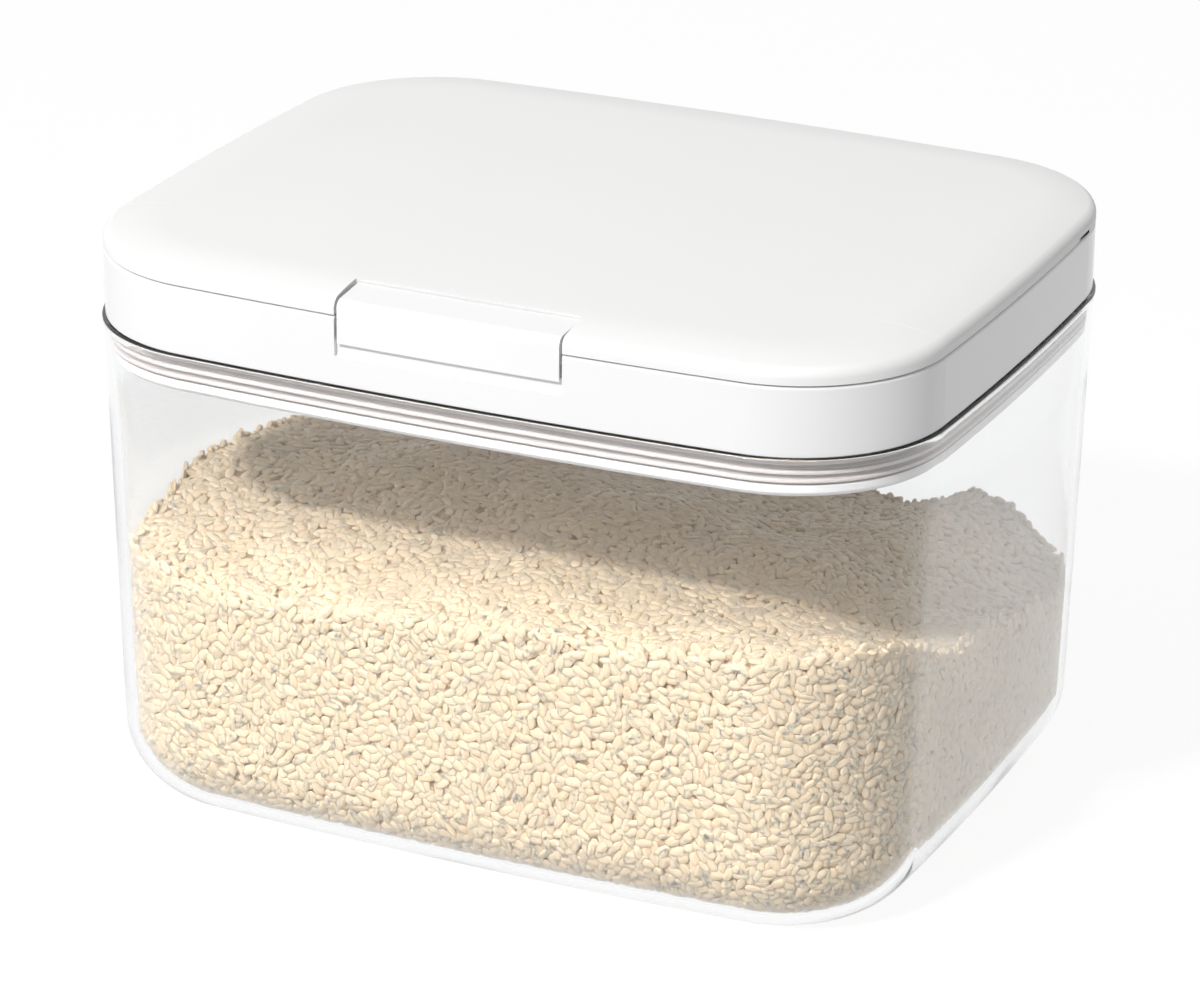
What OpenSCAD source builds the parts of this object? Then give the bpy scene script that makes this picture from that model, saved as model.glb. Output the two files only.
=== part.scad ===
// Clear rice bin with a lift-off lid frame and a flip-up top panel held by a push latch.
// The front is -Y, the long side runs along X and +Z is up. The bin rests on Z = 0.
// Sections are drawn as [inset, height]: inset is measured inwards from the lid's outline.

/* [Outline] */
// Width of the lid, side to side
lid_w = 240; // [220:1:270]
// Depth of the lid, front to back
lid_d = 190; // [175:1:215]
// Radius of the lid's corners
corner_r = 42; // [38:0.5:48]
// How far the front and back sides bulge at their middle
bow_front = 4.8; // [2:0.1:7]
// How far the left and right sides bulge at their middle
bow_side = 3.8; // [2:0.1:6]

/* [Bin] */
// Height of the rim above the table
bin_h = 139; // [120:1:160]
// Thickness of the walls and floor
bin_wall = 2.8; // [2.2:0.1:3.2]
// How far the wall's top stands proud of the lid's outline
bin_proud = 0.4; // [0:0.1:0.8]
// Lean of the walls, in degrees
bin_draft = 1.4; // [0.5:0.1:2.5]
// Outer radius between the walls and the floor
bottom_r = 23; // [16:0.5:26]
// How far the bead round the rim stands out
bead_out = 0.45; // [0.2:0.05:0.8]
// Height of the bead round the rim
bead_h = 2.2; // [1.5:0.1:4]

/* [Rice] */
// Height of the top of the heap
heap_h = 86; // [60:1:100]
// Radius of the heap's rounded top
heap_r = 491; // [400:1:800]
// How far the heap's top lies to the left of the middle
heap_left = 22; // [0:1:30]
// How far the heap's top lies in front of the middle
heap_front = 22; // [0:1:30]
// Gap between the heap and the bin
rice_gap = 0.3; // [0.1:0.1:0.8]

/* [Lid frame] */
// Gap between the bin's rim and the lid's skirt
seat_gap = 0.3; // [0.2:0.05:0.6]
// Height of the skirt
skirt_h = 18.7; // [17:0.1:24]
// Thickness of the skirt
skirt_wall = 2.2; // [1.8:0.1:2.6]
// Radius of the skirt's top edge
skirt_top_r = 0.8; // [0.3:0.1:1.2]
// Radius of the skirt's bottom edge
skirt_bottom_r = 0.5; // [0.2:0.1:0.8]
// Thickness of the deck
deck_t = 2.2; // [1.8:0.1:3]
// Depth of the deck's top below the skirt's top
deck_drop = 3.3; // [3:0.1:4]
// Width of the mouth
mouth_w = 196; // [180:1:200]
// Depth of the mouth, front to back
mouth_d = 124; // [110:1:130]
// Radius of the mouth's corners
mouth_r = 32; // [25:0.5:40]
// How far the mouth's middle lies behind the lid's middle
mouth_back = 6; // [4:0.5:8]
// Thickness of the collar round the mouth
collar_t = 2; // [1.6:0.1:3]
// Height of the collar above the deck
collar_h = 2.2; // [1.6:0.1:2.4]
// Depth of the collar below the deck
collar_drop = 5; // [2:0.5:8]

/* [Seal] */
// How far the plug ring reaches below the bin's rim
plug_depth = 10.8; // [10:0.1:16]
// Gap between the plug ring's lip and the bin's wall
plug_gap = 0.6; // [0.4:0.1:1]
// Thickness of the plug ring's wall
plug_wall = 2; // [1.6:0.1:3]
// Width of the flange that joins the plug ring to the deck
flange_w = 8; // [6:0.5:12]
// Thickness of the flange
flange_t = 2; // [1.6:0.1:2.6]
// Height of the plug ring's lip
lip_h = 3.3; // [2.5:0.1:4]
// Height of the shoulder above the seal
shoulder_h = 1.8; // [1.2:0.1:2.4]
// Depth of the groove that holds the seal
groove_depth = 2.4; // [1.8:0.1:3]
// Height of the seal
seal_h = 6.9; // [6:0.1:7.5]
// Number of fins on the seal
seal_fins = 3; // [2:1:4]
// How far a fin stands out
fin_out = 0.9; // [0.6:0.05:1.2]
// Thickness of a fin
fin_t = 1.1; // [0.8:0.1:1.4]
// Gap between the fins and the bin's wall
seal_gap = 0.3; // [0.25:0.05:0.5]
// Width of the seal that closes the mouth
mouth_seal_w = 5; // [4.5:0.1:6]
// Depth of the groove that holds the mouth's seal
mouth_groove = 1; // [0.6:0.1:1.2]

/* [Flip panel] */
// Gap between the skirt's top and the panel
seam_gap = 0.5; // [0.4:0.05:0.8]
// Height of the panel from its edge to its flat top
panel_h = 6.1; // [5.8:0.1:8]
// Thickness of the panel
panel_t = 2.2; // [1.8:0.1:2.4]
// Radius of the panel's edge
edge_r = 3; // [2.6:0.1:3.4]
// Radius of the crown behind the edge
crown_r = 61; // [50:1:90]
// Distance from the edge to the flat top
crown_w = 16; // [12:0.5:18]
// Thickness of the liner
liner_t = 2; // [1.6:0.1:2.1]
// Gap between the liner and the panel's edge wall
liner_gap = 0.3; // [0.2:0.05:0.5]
// Radius of a post between the liner and the panel
post_r = 3; // [2:0.1:5]

/* [Hinge] */
// How far the hinge's axis lies behind the lid's outline
hinge_out = 0.8; // [0.5:0.1:2]
// Depth of the hinge's axis below the skirt's top
hinge_drop = 2.5; // [2:0.1:3]
// Radius of the hinge barrels
barrel_r = 4; // [3.8:0.1:4.4]
// Distance between the middle of the lid and each hinge
hinge_x = 38; // [20:1:50]
// Length of the ear at the inner end of each hinge
ear_l = 4; // [3:0.5:6]
// Length of the panel's knuckle
knuckle_l = 11.7; // [8:0.1:16]
// Length of the barrel that holds the spring
tube_l = 13.7; // [12:0.1:18]
// Gap between neighbouring barrels along the axis
barrel_gap = 0.3; // [0.2:0.05:0.6]
// Gap round a barrel
hinge_gap = 0.4; // [0.3:0.05:0.6]
// Radius of the hinge pins
pin_r = 1.5; // [1.2:0.05:1.6]
// Radial clearance of a pin in what turns on it
pin_clear = 0.05; // [0.02:0.01:0.08]
// Radial clearance of a pin in what holds it
pin_hold = 0.02; // [0.01:0.01:0.03]

/* [Latch] */
// Width of the button
latch_w = 62.8; // [50:0.1:80]
// Gap on each side of the button
latch_gap = 0.8; // [0.6:0.05:1.2]
// How far the button reaches back over the top
latch_depth = 12.2; // [11.5:0.1:13]
// Gap behind the button
latch_back_gap = 0.6; // [0.5:0.05:1]
// Height of the sill under the button
sill_h = 8; // [7.5:0.1:9]
// Gap under the button that it is pushed down into
press_gap = 3.6; // [3.5:0.1:4.5]
// Height of the button's front edge above the panel's bottom edge
latch_rise = 4.1; // [3.8:0.1:4.3]
// Radius of the button's front edge
latch_r = 2.4; // [2:0.1:3]
// Slope of the button's top, in degrees
latch_slope = 5.8; // [4:0.1:7]
// Thickness of the button's walls
latch_wall = 2; // [1.6:0.1:2.2]
// Thickness of the button's lip, which slides down in front of the wall under the notch
latch_lip = 1; // [0.8:0.05:1.1]
// Gap behind the button's lip
lip_gap = 0.3; // [0.25:0.05:0.4]
// Thickness of the wall behind the button's lip
sill_wall_t = 1.2; // [1:0.1:1.4]
// Distance of the button's pivot behind the front
pivot_back = 23; // [22.5:0.1:25]
// Depth of the pivot below the button's bottom edge
pivot_drop = 1.1; // [0.8:0.1:1.6]
// Radius of the boss round the pivot
arm_r = 2.6; // [2.2:0.1:3]
// Width of the button's arms
arm_w = 4; // [3:0.1:5]
// Distance of the arms from the middle
arm_x = 22; // [18:0.5:23]
// Radius of the pivot's pin
latch_pin_r = 1.2; // [1:0.05:1.5]
// Width of the hook
hook_w = 16; // [10:0.5:20]
// How far the hook holds the catch
hook_grip = 0.75; // [0.5:0.05:0.8]
// Thickness of the pocket's walls
pocket_wall = 1.6; // [1.2:0.1:2]

/* [Springs] */
// Radius of the hinge spring's coil, to the wire's middle
hinge_coil_r = 2.2; // [2.1:0.05:2.3]
// Radius of the hinge spring's wire
hinge_wire_r = 0.4; // [0.3:0.05:0.45]
// Turns of each hinge spring
hinge_turns = 7; // [4:1:8]
// Radius of the latch spring's coil, to the wire's middle
latch_coil_r = 2.4; // [2.2:0.1:3]
// Radius of the latch spring's wire
latch_wire_r = 0.3; // [0.2:0.05:0.4]
// Turns of each latch spring
latch_turns = 5; // [3:1:6]
// Distance of the latch springs from the middle
latch_spring_x = 14; // [11:0.5:16]

/* [Hidden] */
left = -1;
right = 1;

// How far cutting shapes overshoot, and how deep joined shapes overlap
over = 2;
merge = 0.5;
// Fineness of round shapes, of wide ones and of the outline's bows
fine = 48;
wide_fine = 4 * fine;
bow_fine = 1440;
// Most degrees that one step of a sweep turns, and its fewest steps
sweep_step = 6;
sweep_least = 6;

// Arcs of the outline: the front and side arcs, with centres kept to a hundredth, and corners that touch both
front_c = round(100 * ((pow(lid_w / 2, 2) + pow(bow_front, 2)) / (2 * bow_front) - lid_d / 2)) / 100;
side_c = round(100 * ((pow(lid_d / 2, 2) + pow(bow_side, 2)) / (2 * bow_side) - lid_w / 2)) / 100;
front_r = front_c + lid_d / 2;
side_r = side_c + lid_w / 2;
centre_gap = norm([side_c, front_c]);
centre_along = (pow(front_r - corner_r, 2) - pow(side_r - corner_r, 2) + pow(centre_gap, 2)) / (2 * centre_gap);
centre_off = sqrt(pow(front_r - corner_r, 2) - pow(centre_along, 2));
corner_x = (centre_off * front_c - centre_along * side_c) / centre_gap;
corner_y = (centre_along * front_c + centre_off * side_c) / centre_gap - front_c;
front_turn = atan(corner_x / (front_c + corner_y));
side_turn = atan(corner_y / (side_c + corner_x));
corner_turn = 90 - front_turn - side_turn;
corner_lap = 0.7;
corner_set = 0.02;

// Heights, from the table up
skirt_bottom = bin_h + seat_gap;
skirt_top = skirt_bottom + skirt_h;
deck_top = skirt_top - deck_drop;
deck_bottom = deck_top - deck_t;
collar_top = deck_top + collar_h;
panel_bottom = skirt_top + seam_gap;
panel_top = panel_bottom + panel_h;
liner_top = panel_bottom + liner_t;
lip_bottom = bin_h - plug_depth;
seal_bottom = lip_bottom + lip_h;
seal_top = seal_bottom + seal_h;
shoulder_top = seal_top + shoulder_h;

// Bin section
wall_top_in = -bin_proud;
draft_slope = tan(bin_draft);
bottom_tangent = bottom_r * (1 - sin(bin_draft));
bottom_c = wall_top_in + bottom_r * cos(bin_draft) + (bin_h - bottom_tangent) * draft_slope;
function wall_in(z) = wall_top_in + bin_wall / cos(bin_draft) + (bin_h - z) * draft_slope;

// The heap's top is turned out to this reach
heap_reach = norm([lid_w / 2 + heap_left, lid_d / 2 + heap_front]);
heap_steps = 16;

// Inset up to which sections are swept; the middle of a plate is flat and starts a little before it
core_room = 4.6;
core_in = max(bottom_c, crown_w) + core_room;
core_lap = 4;
floor_lap = 2;
floor_turn = 3.5;
floor_in = bottom_c - bottom_r * sin(floor_turn);

// Seal section
lip_in = wall_in(lip_bottom) + plug_gap;
groove_in = lip_in + groove_depth;
fin_in = wall_in(seal_bottom) + seal_gap;
fin_pitch = seal_h / seal_fins;
flange_set = 1;
flange_in = lip_in + flange_set;
pocket_clear = 0.4;

// Panel section: a small arc at the edge runs into the wide arc of the crown
edge_c = panel_top - crown_r + sqrt(pow(crown_r - edge_r, 2) - pow(crown_w - edge_r, 2));
crown_c = panel_top - crown_r;
crown_turn = asin((crown_w - edge_r) / (crown_r - edge_r));

// Liner: places of its posts, and how its seal stands in it
post_x = 78.4;
post_y = 37.2;
groove_gap = 0.1;
seal_out = 0.4;
foot_gap = 0.3;

// Steps in the arcs of the sections
small_steps = 4;
edge_steps = 6;
crown_steps = 4;
bottom_steps = 12;

// Hinge: positions along the axis, counted outwards from the middle
hinge_y = lid_d / 2 + hinge_out;
hinge_z = skirt_top - hinge_drop;
knuckle_x = hinge_x + ear_l + barrel_gap;
tube_x = knuckle_x + knuckle_l + barrel_gap;
hinge_end = tube_x + tube_l;
tube_end_wall = 3.5;
coil_room = 0.3;
spring_bore_r = hinge_coil_r + hinge_wire_r + coil_room;
pin_set = 0.5;
pin_play = 0.2;
tang_l = 2.4;
tang_gap = 0.4;
tang_room = 0.1;
knuckle_play = 0.1;
barrel_play = 0.15;
coil_set = 0.8;
web_in = 3.5;
ear_angle = -30;
ear_foot = 9.5;
ear_set = 0.1;
knuckle_angle = 50;
knuckle_in = 2.1;
knuckle_drop = 2.8;
knuckle_top = panel_top - knuckle_drop;

// Latch
front_y = -lid_d / 2;
notch_w = latch_w + 2 * latch_gap;
notch_depth = latch_depth + latch_back_gap;
sill_z = skirt_bottom + sill_h;
latch_bottom = sill_z + press_gap;
latch_c = panel_bottom + latch_rise - latch_r;
latch_back_drop = 3;
latch_back_z = panel_bottom - latch_back_drop;
sill_wall_in = latch_lip + lip_gap;
sill_lap = 0.6;
sill_wall_top = latch_bottom + sill_lap;
lip_swing = 0.8;
lip_room_back = sill_wall_in + sill_wall_t + lip_swing;
lip_top = sill_wall_top + press_gap;
pivot_y = front_y + pivot_back;
pivot_z = latch_bottom - pivot_drop;
pocket_side = 0.8;
pocket_w = notch_w + 2 * pocket_side;
arm_under = 1.4;
pocket_floor = pivot_z - arm_r - arm_under;
pocket_bottom = pocket_floor - pocket_wall;
pocket_behind = 7;
pocket_back = pivot_y + pocket_behind;
ear_w = 3;
ear_gap = 1.2;
ear_x = arm_x + arm_w + ear_gap;
latch_pin_l = 2 * (ear_x + ear_w);
web_z = lip_top;
web_t = 1.5;
bar_t = 2.1;
hook_leg = 2;
hook_t = 1.6;
hook_before = 6.4;
hook_y = pivot_y - hook_before;
hook_lip = 1.8;
hook_low = 0.6;
hook_top = panel_bottom - hook_low;
hook_under = hook_top - hook_t;
catch_gap = 0.45;
catch_t = 1.5;
catch_reach = 1.6;
catch_tip = hook_y + hook_leg + hook_lip - hook_grip;
catch_y = hook_y + hook_leg + hook_lip + catch_reach;
catch_side = 1;
bar_front = 1;
spring_in = 7;
spring_y = front_y + spring_in;
spring_post_r = 1.4;
spring_post_h = 2.5;
spring_end_gap = 0.1;

// Wire springs are swept on these
wire_sides = 6;
wire_rings = 8;

// --- Outline helpers -------------------------------------------------------------------------------------

// Turns a section of [inset, height] about the centre of one of the outline's arcs
module turned(centre, radius, from, turn) {
    steps = max(sweep_least, ceil(turn / sweep_step));
    translate([centre[0], centre[1], 0])
        rotate([0, 0, from])
            rotate_extrude(angle = turn, $fn = ceil(steps * 360 / turn))
                translate([radius, 0])
                    mirror([1, 0])
                        children();
}

// A corner laps over the sides beside it, set off by a hair so that they join cleanly
module turned_corner(centre, from, rise) {
    turned(centre, corner_r, from - corner_lap, corner_turn + 2 * corner_lap)
        translate([corner_set, rise * corner_set])
            children();
}

// Sweeps a section of [inset, height] round the whole outline; rise says which way the corners are set off
module swept(rise = -1) {
    for (side = [-1, 1]) {
        turned([0, -side * front_c], front_r, side * 90 - front_turn, 2 * front_turn) children();
        turned([-side * side_c, 0], side_r, 90 - side * 90 - side_turn, 2 * side_turn) children();
    }
    turned_corner([corner_x, -corner_y], front_turn - 90, rise) children();
    turned_corner([corner_x, corner_y], side_turn, rise) children();
    turned_corner([-corner_x, corner_y], front_turn + 90, rise) children();
    turned_corner([-corner_x, -corner_y], side_turn + 180, rise) children();
}

// Sweeps a section along the front side only
module front_swept() {
    turned([0, front_c], front_r, -90 - front_turn, 2 * front_turn) children();
}

// The outline as a flat shape, drawn inwards by an inset
module outline(inset) {
    r = corner_r - inset;
    meet_x = corner_x + r * sin(front_turn);
    meet_y = corner_y + r * sin(side_turn);
    for (x = [-corner_x, corner_x], y = [-corner_y, corner_y])
        translate([x, y])
            circle(r = r, $fn = wide_fine);
    intersection() {
        translate([0, front_c])
            circle(r = front_r - inset, $fn = bow_fine);
        translate([0, -front_c])
            circle(r = front_r - inset, $fn = bow_fine);
        square([2 * meet_x, lid_d], center = true);
    }
    intersection() {
        translate([side_c, 0])
            circle(r = side_r - inset, $fn = bow_fine);
        translate([-side_c, 0])
            circle(r = side_r - inset, $fn = bow_fine);
        square([lid_w, 2 * meet_y], center = true);
    }
}

// A flat plate with the outline's shape
module plate(inset, z, t) {
    translate([0, 0, z])
        linear_extrude(t)
            outline(inset);
}

// A flat band that follows the outline, between two insets
module band(outer, inner, z, t) {
    translate([0, 0, z])
        linear_extrude(t)
            difference() {
                outline(outer);
                outline(inner);
            }
}

// Points of an arc in a section, from one direction to another
function arc(centre, r, from, to, steps, first = 0) =
    [for (i = [first : steps]) let (a = from + (to - from) * i / steps) centre + r * [cos(a), sin(a)]];

// Points of a list, last one first
function turned_back(points) = [for (i = [1 : len(points)]) points[len(points) - i]];

// Draws a bar in a section, with its outer corners rounded
module bar(x0, x1, z0, z1, top_r, bottom_r) {
    polygon(concat([[x1, z0]], arc([x0 + bottom_r, z0 + bottom_r], bottom_r, 270, 180, small_steps),
        arc([x0 + top_r, z1 - top_r], top_r, 180, 90, small_steps), [[x1, z1]]));
}

// A flat rounded rectangle
module rounded(w, d, r) {
    square([w - 2 * r, d], center = true);
    square([w, d - 2 * r], center = true);
    for (x = [-1, 1], y = [-1, 1])
        translate([x * (w / 2 - r), y * (d / 2 - r)])
            circle(r = r, $fn = 2 * fine);
}

// The mouth's shape, grown outwards
module mouth(grow) {
    translate([0, mouth_back])
        rounded(mouth_w + 2 * grow, mouth_d + 2 * grow, mouth_r + grow);
}

// A band that follows the mouth, between two growths
module mouth_band(inner, outer, z, t) {
    translate([0, 0, z])
        linear_extrude(t)
            difference() {
                mouth(outer);
                mouth(inner);
            }
}

// A box centred on X = 0
module centred_box(w, y0, y1, z0, z1) {
    translate([-w / 2, y0, z0])
        cube([w, y1 - y0, z1 - z0]);
}

// Draws a shape of [y, z] and gives it a length along X
module along_x(x0, length) {
    translate([x0, 0, 0])
        rotate([90, 0, 90])
            linear_extrude(length)
                children();
}

// A round bar or hole along X
module rod(x0, length, y, z, r, fineness = fine) {
    translate([x0, y, z])
        rotate([0, 90, 0])
            cylinder(h = length, r = r, $fn = fineness);
}

// One stretch of a hinge, from one distance to another on the left or right side
module hinge_stretch(side, from, to, r) {
    rod(side > 0 ? from : -to, to - from, hinge_y, hinge_z, r);
}

module hinge_profile(side, from, to) {
    along_x(side > 0 ? from : -to, to - from) children();
}

// --- Bin -------------------------------------------------------------------------------------------------

// Points from the wall to the floor, on the bin's outer face or an offset inside it
function bin_face(offset) =
    arc([bottom_c, bottom_r], bottom_r - offset, 180 + bin_draft, 270 - floor_lap, bottom_steps);

// Everything inside the bin's outer face
module bin_block() {
    bead_low = bin_h - bead_h;
    swept(1)
        polygon(concat([[core_in, bin_h]],
            arc([wall_top_in, bin_h - bead_out], bead_out, 90, 180, small_steps),
            arc([wall_top_in, bead_low + bead_out], bead_out, 180, 270, small_steps),
            [[wall_top_in + bead_h * draft_slope, bead_low]], bin_face(0), [[core_in, bottom_r]]));
    plate(floor_in, 0, bin_h);
}

// The space inside the bin, drawn in by a gap
module bin_space(gap) {
    offset = bin_wall + gap;
    top = bin_h + over;
    swept(1)
        polygon(concat([[core_in, top], [wall_in(top) + gap, top]], bin_face(offset), [[core_in, bottom_r]]));
    plate(floor_in, offset, top - offset);
}

module bin_body() {
    color("lightcyan", 0.4)
        difference() {
            bin_block();
            bin_space(0);
        }
}

module rice_fill() {
    color("wheat")
        difference() {
            bin_space(rice_gap);
            translate([-heap_left, -heap_front, 0])
                rotate_extrude($fn = wide_fine)
                    polygon(concat([[0, bin_h + 2 * over], [heap_reach, bin_h + 2 * over]],
                        [for (i = [heap_steps : -1 : 0]) let (x = i * heap_reach / heap_steps)
                            [x, heap_h - heap_r + sqrt(pow(heap_r, 2) - pow(x, 2))]]));
        }
}

// --- Lid frame -------------------------------------------------------------------------------------------

// Cuts the notch that the latch button stands in
module notch_cut(z) {
    centred_box(notch_w, front_y - over, front_y + notch_depth, z, panel_top + over);
}

module pocket_walls() {
    inner = skirt_wall - merge;
    intersection() {
        centred_box(pocket_w + 2 * pocket_wall, front_y, pocket_back + pocket_wall, pocket_bottom, deck_top);
        plate(inner, pocket_bottom, deck_top - pocket_bottom);
    }
}

module pocket_cut() {
    centred_box(pocket_w, front_y + skirt_wall, pocket_back, pocket_floor, deck_top + over);
    centred_box(notch_w, front_y - over, pocket_back, sill_z, skirt_top + over);
}

// Wall behind the button's lip, which closes the notch under the button
module sill_wall() {
    intersection() {
        front_swept()
            translate([sill_wall_in, pocket_floor - merge])
                square([sill_wall_t, sill_wall_top - pocket_floor + merge]);
        centred_box(notch_w + 2 * merge, front_y - over, front_y + notch_depth, pocket_bottom, skirt_top);
    }
}

// Ears on the pocket's floor that hold the latch's pin
module latch_ears() {
    for (side = [-1, 1])
        difference() {
            along_x(side > 0 ? ear_x : -ear_x - ear_w, ear_w) {
                translate([pivot_y, pivot_z])
                    circle(r = arm_r, $fn = fine);
                translate([pivot_y - arm_r, pocket_floor - merge])
                    square([2 * arm_r, pivot_z - pocket_floor + merge]);
            }
            rod(-latch_pin_l, 2 * latch_pin_l, pivot_y, pivot_z, latch_pin_r + pin_hold);
        }
}

module spring_posts() {
    for (x = [-latch_spring_x, latch_spring_x])
        translate([x, spring_y, pocket_floor - merge])
            cylinder(h = spring_post_h + merge, r = spring_post_r, $fn = fine);
}

// Section of the barrel and web that stand out behind the skirt
module ear_section() {
    tip = [hinge_y + barrel_r * cos(ear_angle), hinge_z + barrel_r * sin(ear_angle)];
    foot = tip - [-sin(ear_angle), cos(ear_angle)] * (tip[1] - hinge_z + ear_foot) / cos(ear_angle);
    inner = lid_d / 2 - web_in;
    translate([hinge_y, hinge_z])
        circle(r = barrel_r, $fn = fine);
    top = skirt_top - ear_set;
    polygon([[inner, top], [hinge_y, top], [hinge_y, hinge_z], tip, foot, [inner, foot[1]]]);
}

module hinge_ears() {
    for (side = [left, right]) {
        hinge_profile(side, hinge_x, hinge_x + ear_l) ear_section();
        hinge_profile(side, tube_x, hinge_end) ear_section();
    }
}

// Holes through the ears and the skirt beside them, for the pins and the springs
module hinge_bores() {
    for (side = [left, right]) {
        hinge_stretch(side, hinge_x + pin_set, hinge_end + over, pin_r + pin_hold);
        hinge_stretch(side, tube_x - over, hinge_end - tube_end_wall, spring_bore_r);
        spring_tang_hole(side, hinge_end - tube_end_wall - over, over + tang_l);
    }
}

// A small hole beside the axis that an end of the hinge's spring sits in
module spring_tang_hole(side, from, length) {
    rod(side > 0 ? from : -from - length, length, hinge_y + hinge_coil_r, hinge_z, hinge_wire_r + tang_room);
}

// Room for the panel's knuckles to turn in
module knuckle_room() {
    for (side = [left, right]) {
        from = knuckle_x - barrel_gap - knuckle_play;
        to = knuckle_x + knuckle_l + barrel_gap + knuckle_play;
        hinge_stretch(side, from, to, barrel_r + hinge_gap);
        hinge_profile(side, from, to)
            translate([lid_d / 2 - knuckle_in - hinge_gap, hinge_z])
                square([barrel_r + over, panel_top - hinge_z]);
    }
}

module lid_shell() {
    difference() {
        union() {
            swept() bar(0, skirt_wall, skirt_bottom, skirt_top, skirt_top_r, skirt_bottom_r);
            plate(skirt_wall - merge, deck_bottom, deck_t);
            mouth_band(0, collar_t, deck_bottom - collar_drop, collar_top - deck_bottom + collar_drop);
            pocket_walls();
        }
        translate([0, 0, deck_bottom - over])
            linear_extrude(deck_t + 2 * over)
                mouth(0);
        pocket_cut();
        knuckle_room();
    }
}

module lid_frame() {
    color("white")
        difference() {
            union() {
                lid_shell();
                sill_wall();
                latch_ears();
                spring_posts();
                hinge_ears();
            }
            hinge_bores();
        }
}

// --- Seal ------------------------------------------------------------------------------------------------

module plug_ring() {
    inner = groove_in + plug_wall;
    lip_step = 1;
    color("whitesmoke")
        difference() {
            union() {
                band(groove_in, inner, lip_bottom, deck_bottom - lip_bottom);
                band(lip_in, inner - merge, lip_bottom + lip_step, lip_h - lip_step);
                band(lip_in + lip_step, inner - merge, lip_bottom, lip_h);
                band(lip_in + seal_gap, inner - merge, seal_top, shoulder_h);
                band(flange_in, flange_in + flange_w, deck_bottom - flange_t, flange_t);
            }
            centred_box(pocket_w + 2 * (pocket_wall + pocket_clear), front_y - over,
                pocket_back + pocket_wall + pocket_clear, pocket_bottom - pocket_clear, deck_bottom + over);
        }
}

module rim_gasket() {
    color("mistyrose") {
        band(fin_in + fin_out, groove_in, seal_bottom, seal_h);
        for (fin = [0 : seal_fins - 1])
            band(fin_in, groove_in - merge, seal_bottom + (fin + 0.5) * fin_pitch - fin_t / 2, fin_t);
    }
}

// --- Flip panel ------------------------------------------------------------------------------------------

// Points from the panel's edge to its flat top, on its outer face or an offset inside it
function panel_face(offset) = concat(
    arc([edge_r, edge_c], edge_r - offset, 180, 90 + crown_turn, edge_steps),
    arc([crown_w, crown_c], crown_r - offset, 90 + crown_turn, 90, crown_steps, 1));

// The panel's section filled down to its bottom edge, inside a face that lies an offset below the outer one
module panel_section(offset) {
    polygon(concat([[core_in, panel_bottom], [offset, panel_bottom]], panel_face(offset),
        [[core_in, panel_top - offset]]));
}

module panel_shell_section() {
    polygon(concat([[0, panel_bottom]], panel_face(0), [[core_in, panel_top], [core_in, panel_top - panel_t]],
        turned_back(panel_face(panel_t)), [[panel_t, panel_bottom]]));
}

// Wall that closes the panel round the notch
module notch_wall() {
    intersection() {
        front_swept() panel_section(merge);
        centred_box(notch_w + 2 * panel_t, front_y - over, front_y + notch_depth + panel_t,
            panel_bottom, panel_top + over);
    }
}

// Section of the knuckle that joins the panel's edge to the hinge's barrel
module knuckle_section() {
    tip = [hinge_y + barrel_r * cos(knuckle_angle), hinge_z + barrel_r * sin(knuckle_angle)];
    inner = lid_d / 2 - knuckle_in;
    run = (knuckle_top - tip[1]) * tan(knuckle_angle);
    translate([hinge_y, hinge_z])
        circle(r = barrel_r, $fn = fine);
    polygon([[inner, hinge_z], [inner, knuckle_top], [tip[0] - run, knuckle_top], tip, [hinge_y, hinge_z]]);
}

module knuckles() {
    for (side = [left, right])
        hinge_profile(side, knuckle_x, knuckle_x + knuckle_l) knuckle_section();
}

module knuckle_bores() {
    for (side = [left, right]) {
        hinge_stretch(side, knuckle_x - over, knuckle_x + knuckle_l + over, pin_r + pin_clear);
        spring_tang_hole(side, knuckle_x + knuckle_l - tang_l, over + tang_l);
    }
}

// Room in the panel for the frame's barrels
module barrel_room() {
    for (side = [left, right]) {
        hinge_stretch(side, hinge_x - hinge_gap, knuckle_x - barrel_play, barrel_r + hinge_gap);
        hinge_stretch(side, tube_x - barrel_gap + barrel_play, hinge_end + hinge_gap, barrel_r + hinge_gap);
    }
}

module flip_panel() {
    color("gainsboro")
        difference() {
            union() {
                swept() panel_shell_section();
                plate(core_in - core_lap, panel_top - panel_t, panel_t);
                notch_wall();
                knuckles();
            }
            notch_cut(panel_bottom - over);
            knuckle_bores();
            barrel_room();
        }
}

// Tongue under the liner that the button's hook holds
module catch_tongue() {
    ledge_top = hook_under - catch_gap;
    width = hook_w - 2 * catch_side;
    centred_box(width, catch_y, catch_y + catch_t, ledge_top - catch_t, panel_bottom + merge);
    centred_box(width, catch_tip, catch_y + merge, ledge_top - catch_t, ledge_top);
}

// Posts that seat the liner against the panel
module liner_posts() {
    reach = panel_top - panel_t - liner_top;
    for (x = [-1, 0, 1], y = [-1, 1])
        translate([x * post_x, mouth_back + y * post_y, liner_top - merge])
            cylinder(h = reach + merge, r = post_r, $fn = fine);
}

module panel_liner() {
    middle = collar_t / 2;
    groove_half = mouth_seal_w / 2 + groove_gap;
    color("white")
        difference() {
            union() {
                plate(panel_t + liner_gap, panel_bottom, liner_t);
                catch_tongue();
                liner_posts();
            }
            centred_box(notch_w + 2 * panel_t + 2 * liner_gap, front_y - over,
                front_y + notch_depth + panel_t + liner_gap, panel_bottom - over, liner_top + over);
            mouth_band(middle - groove_half, middle + groove_half, panel_bottom - over, over + mouth_groove);
            barrel_room();
        }
}

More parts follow.
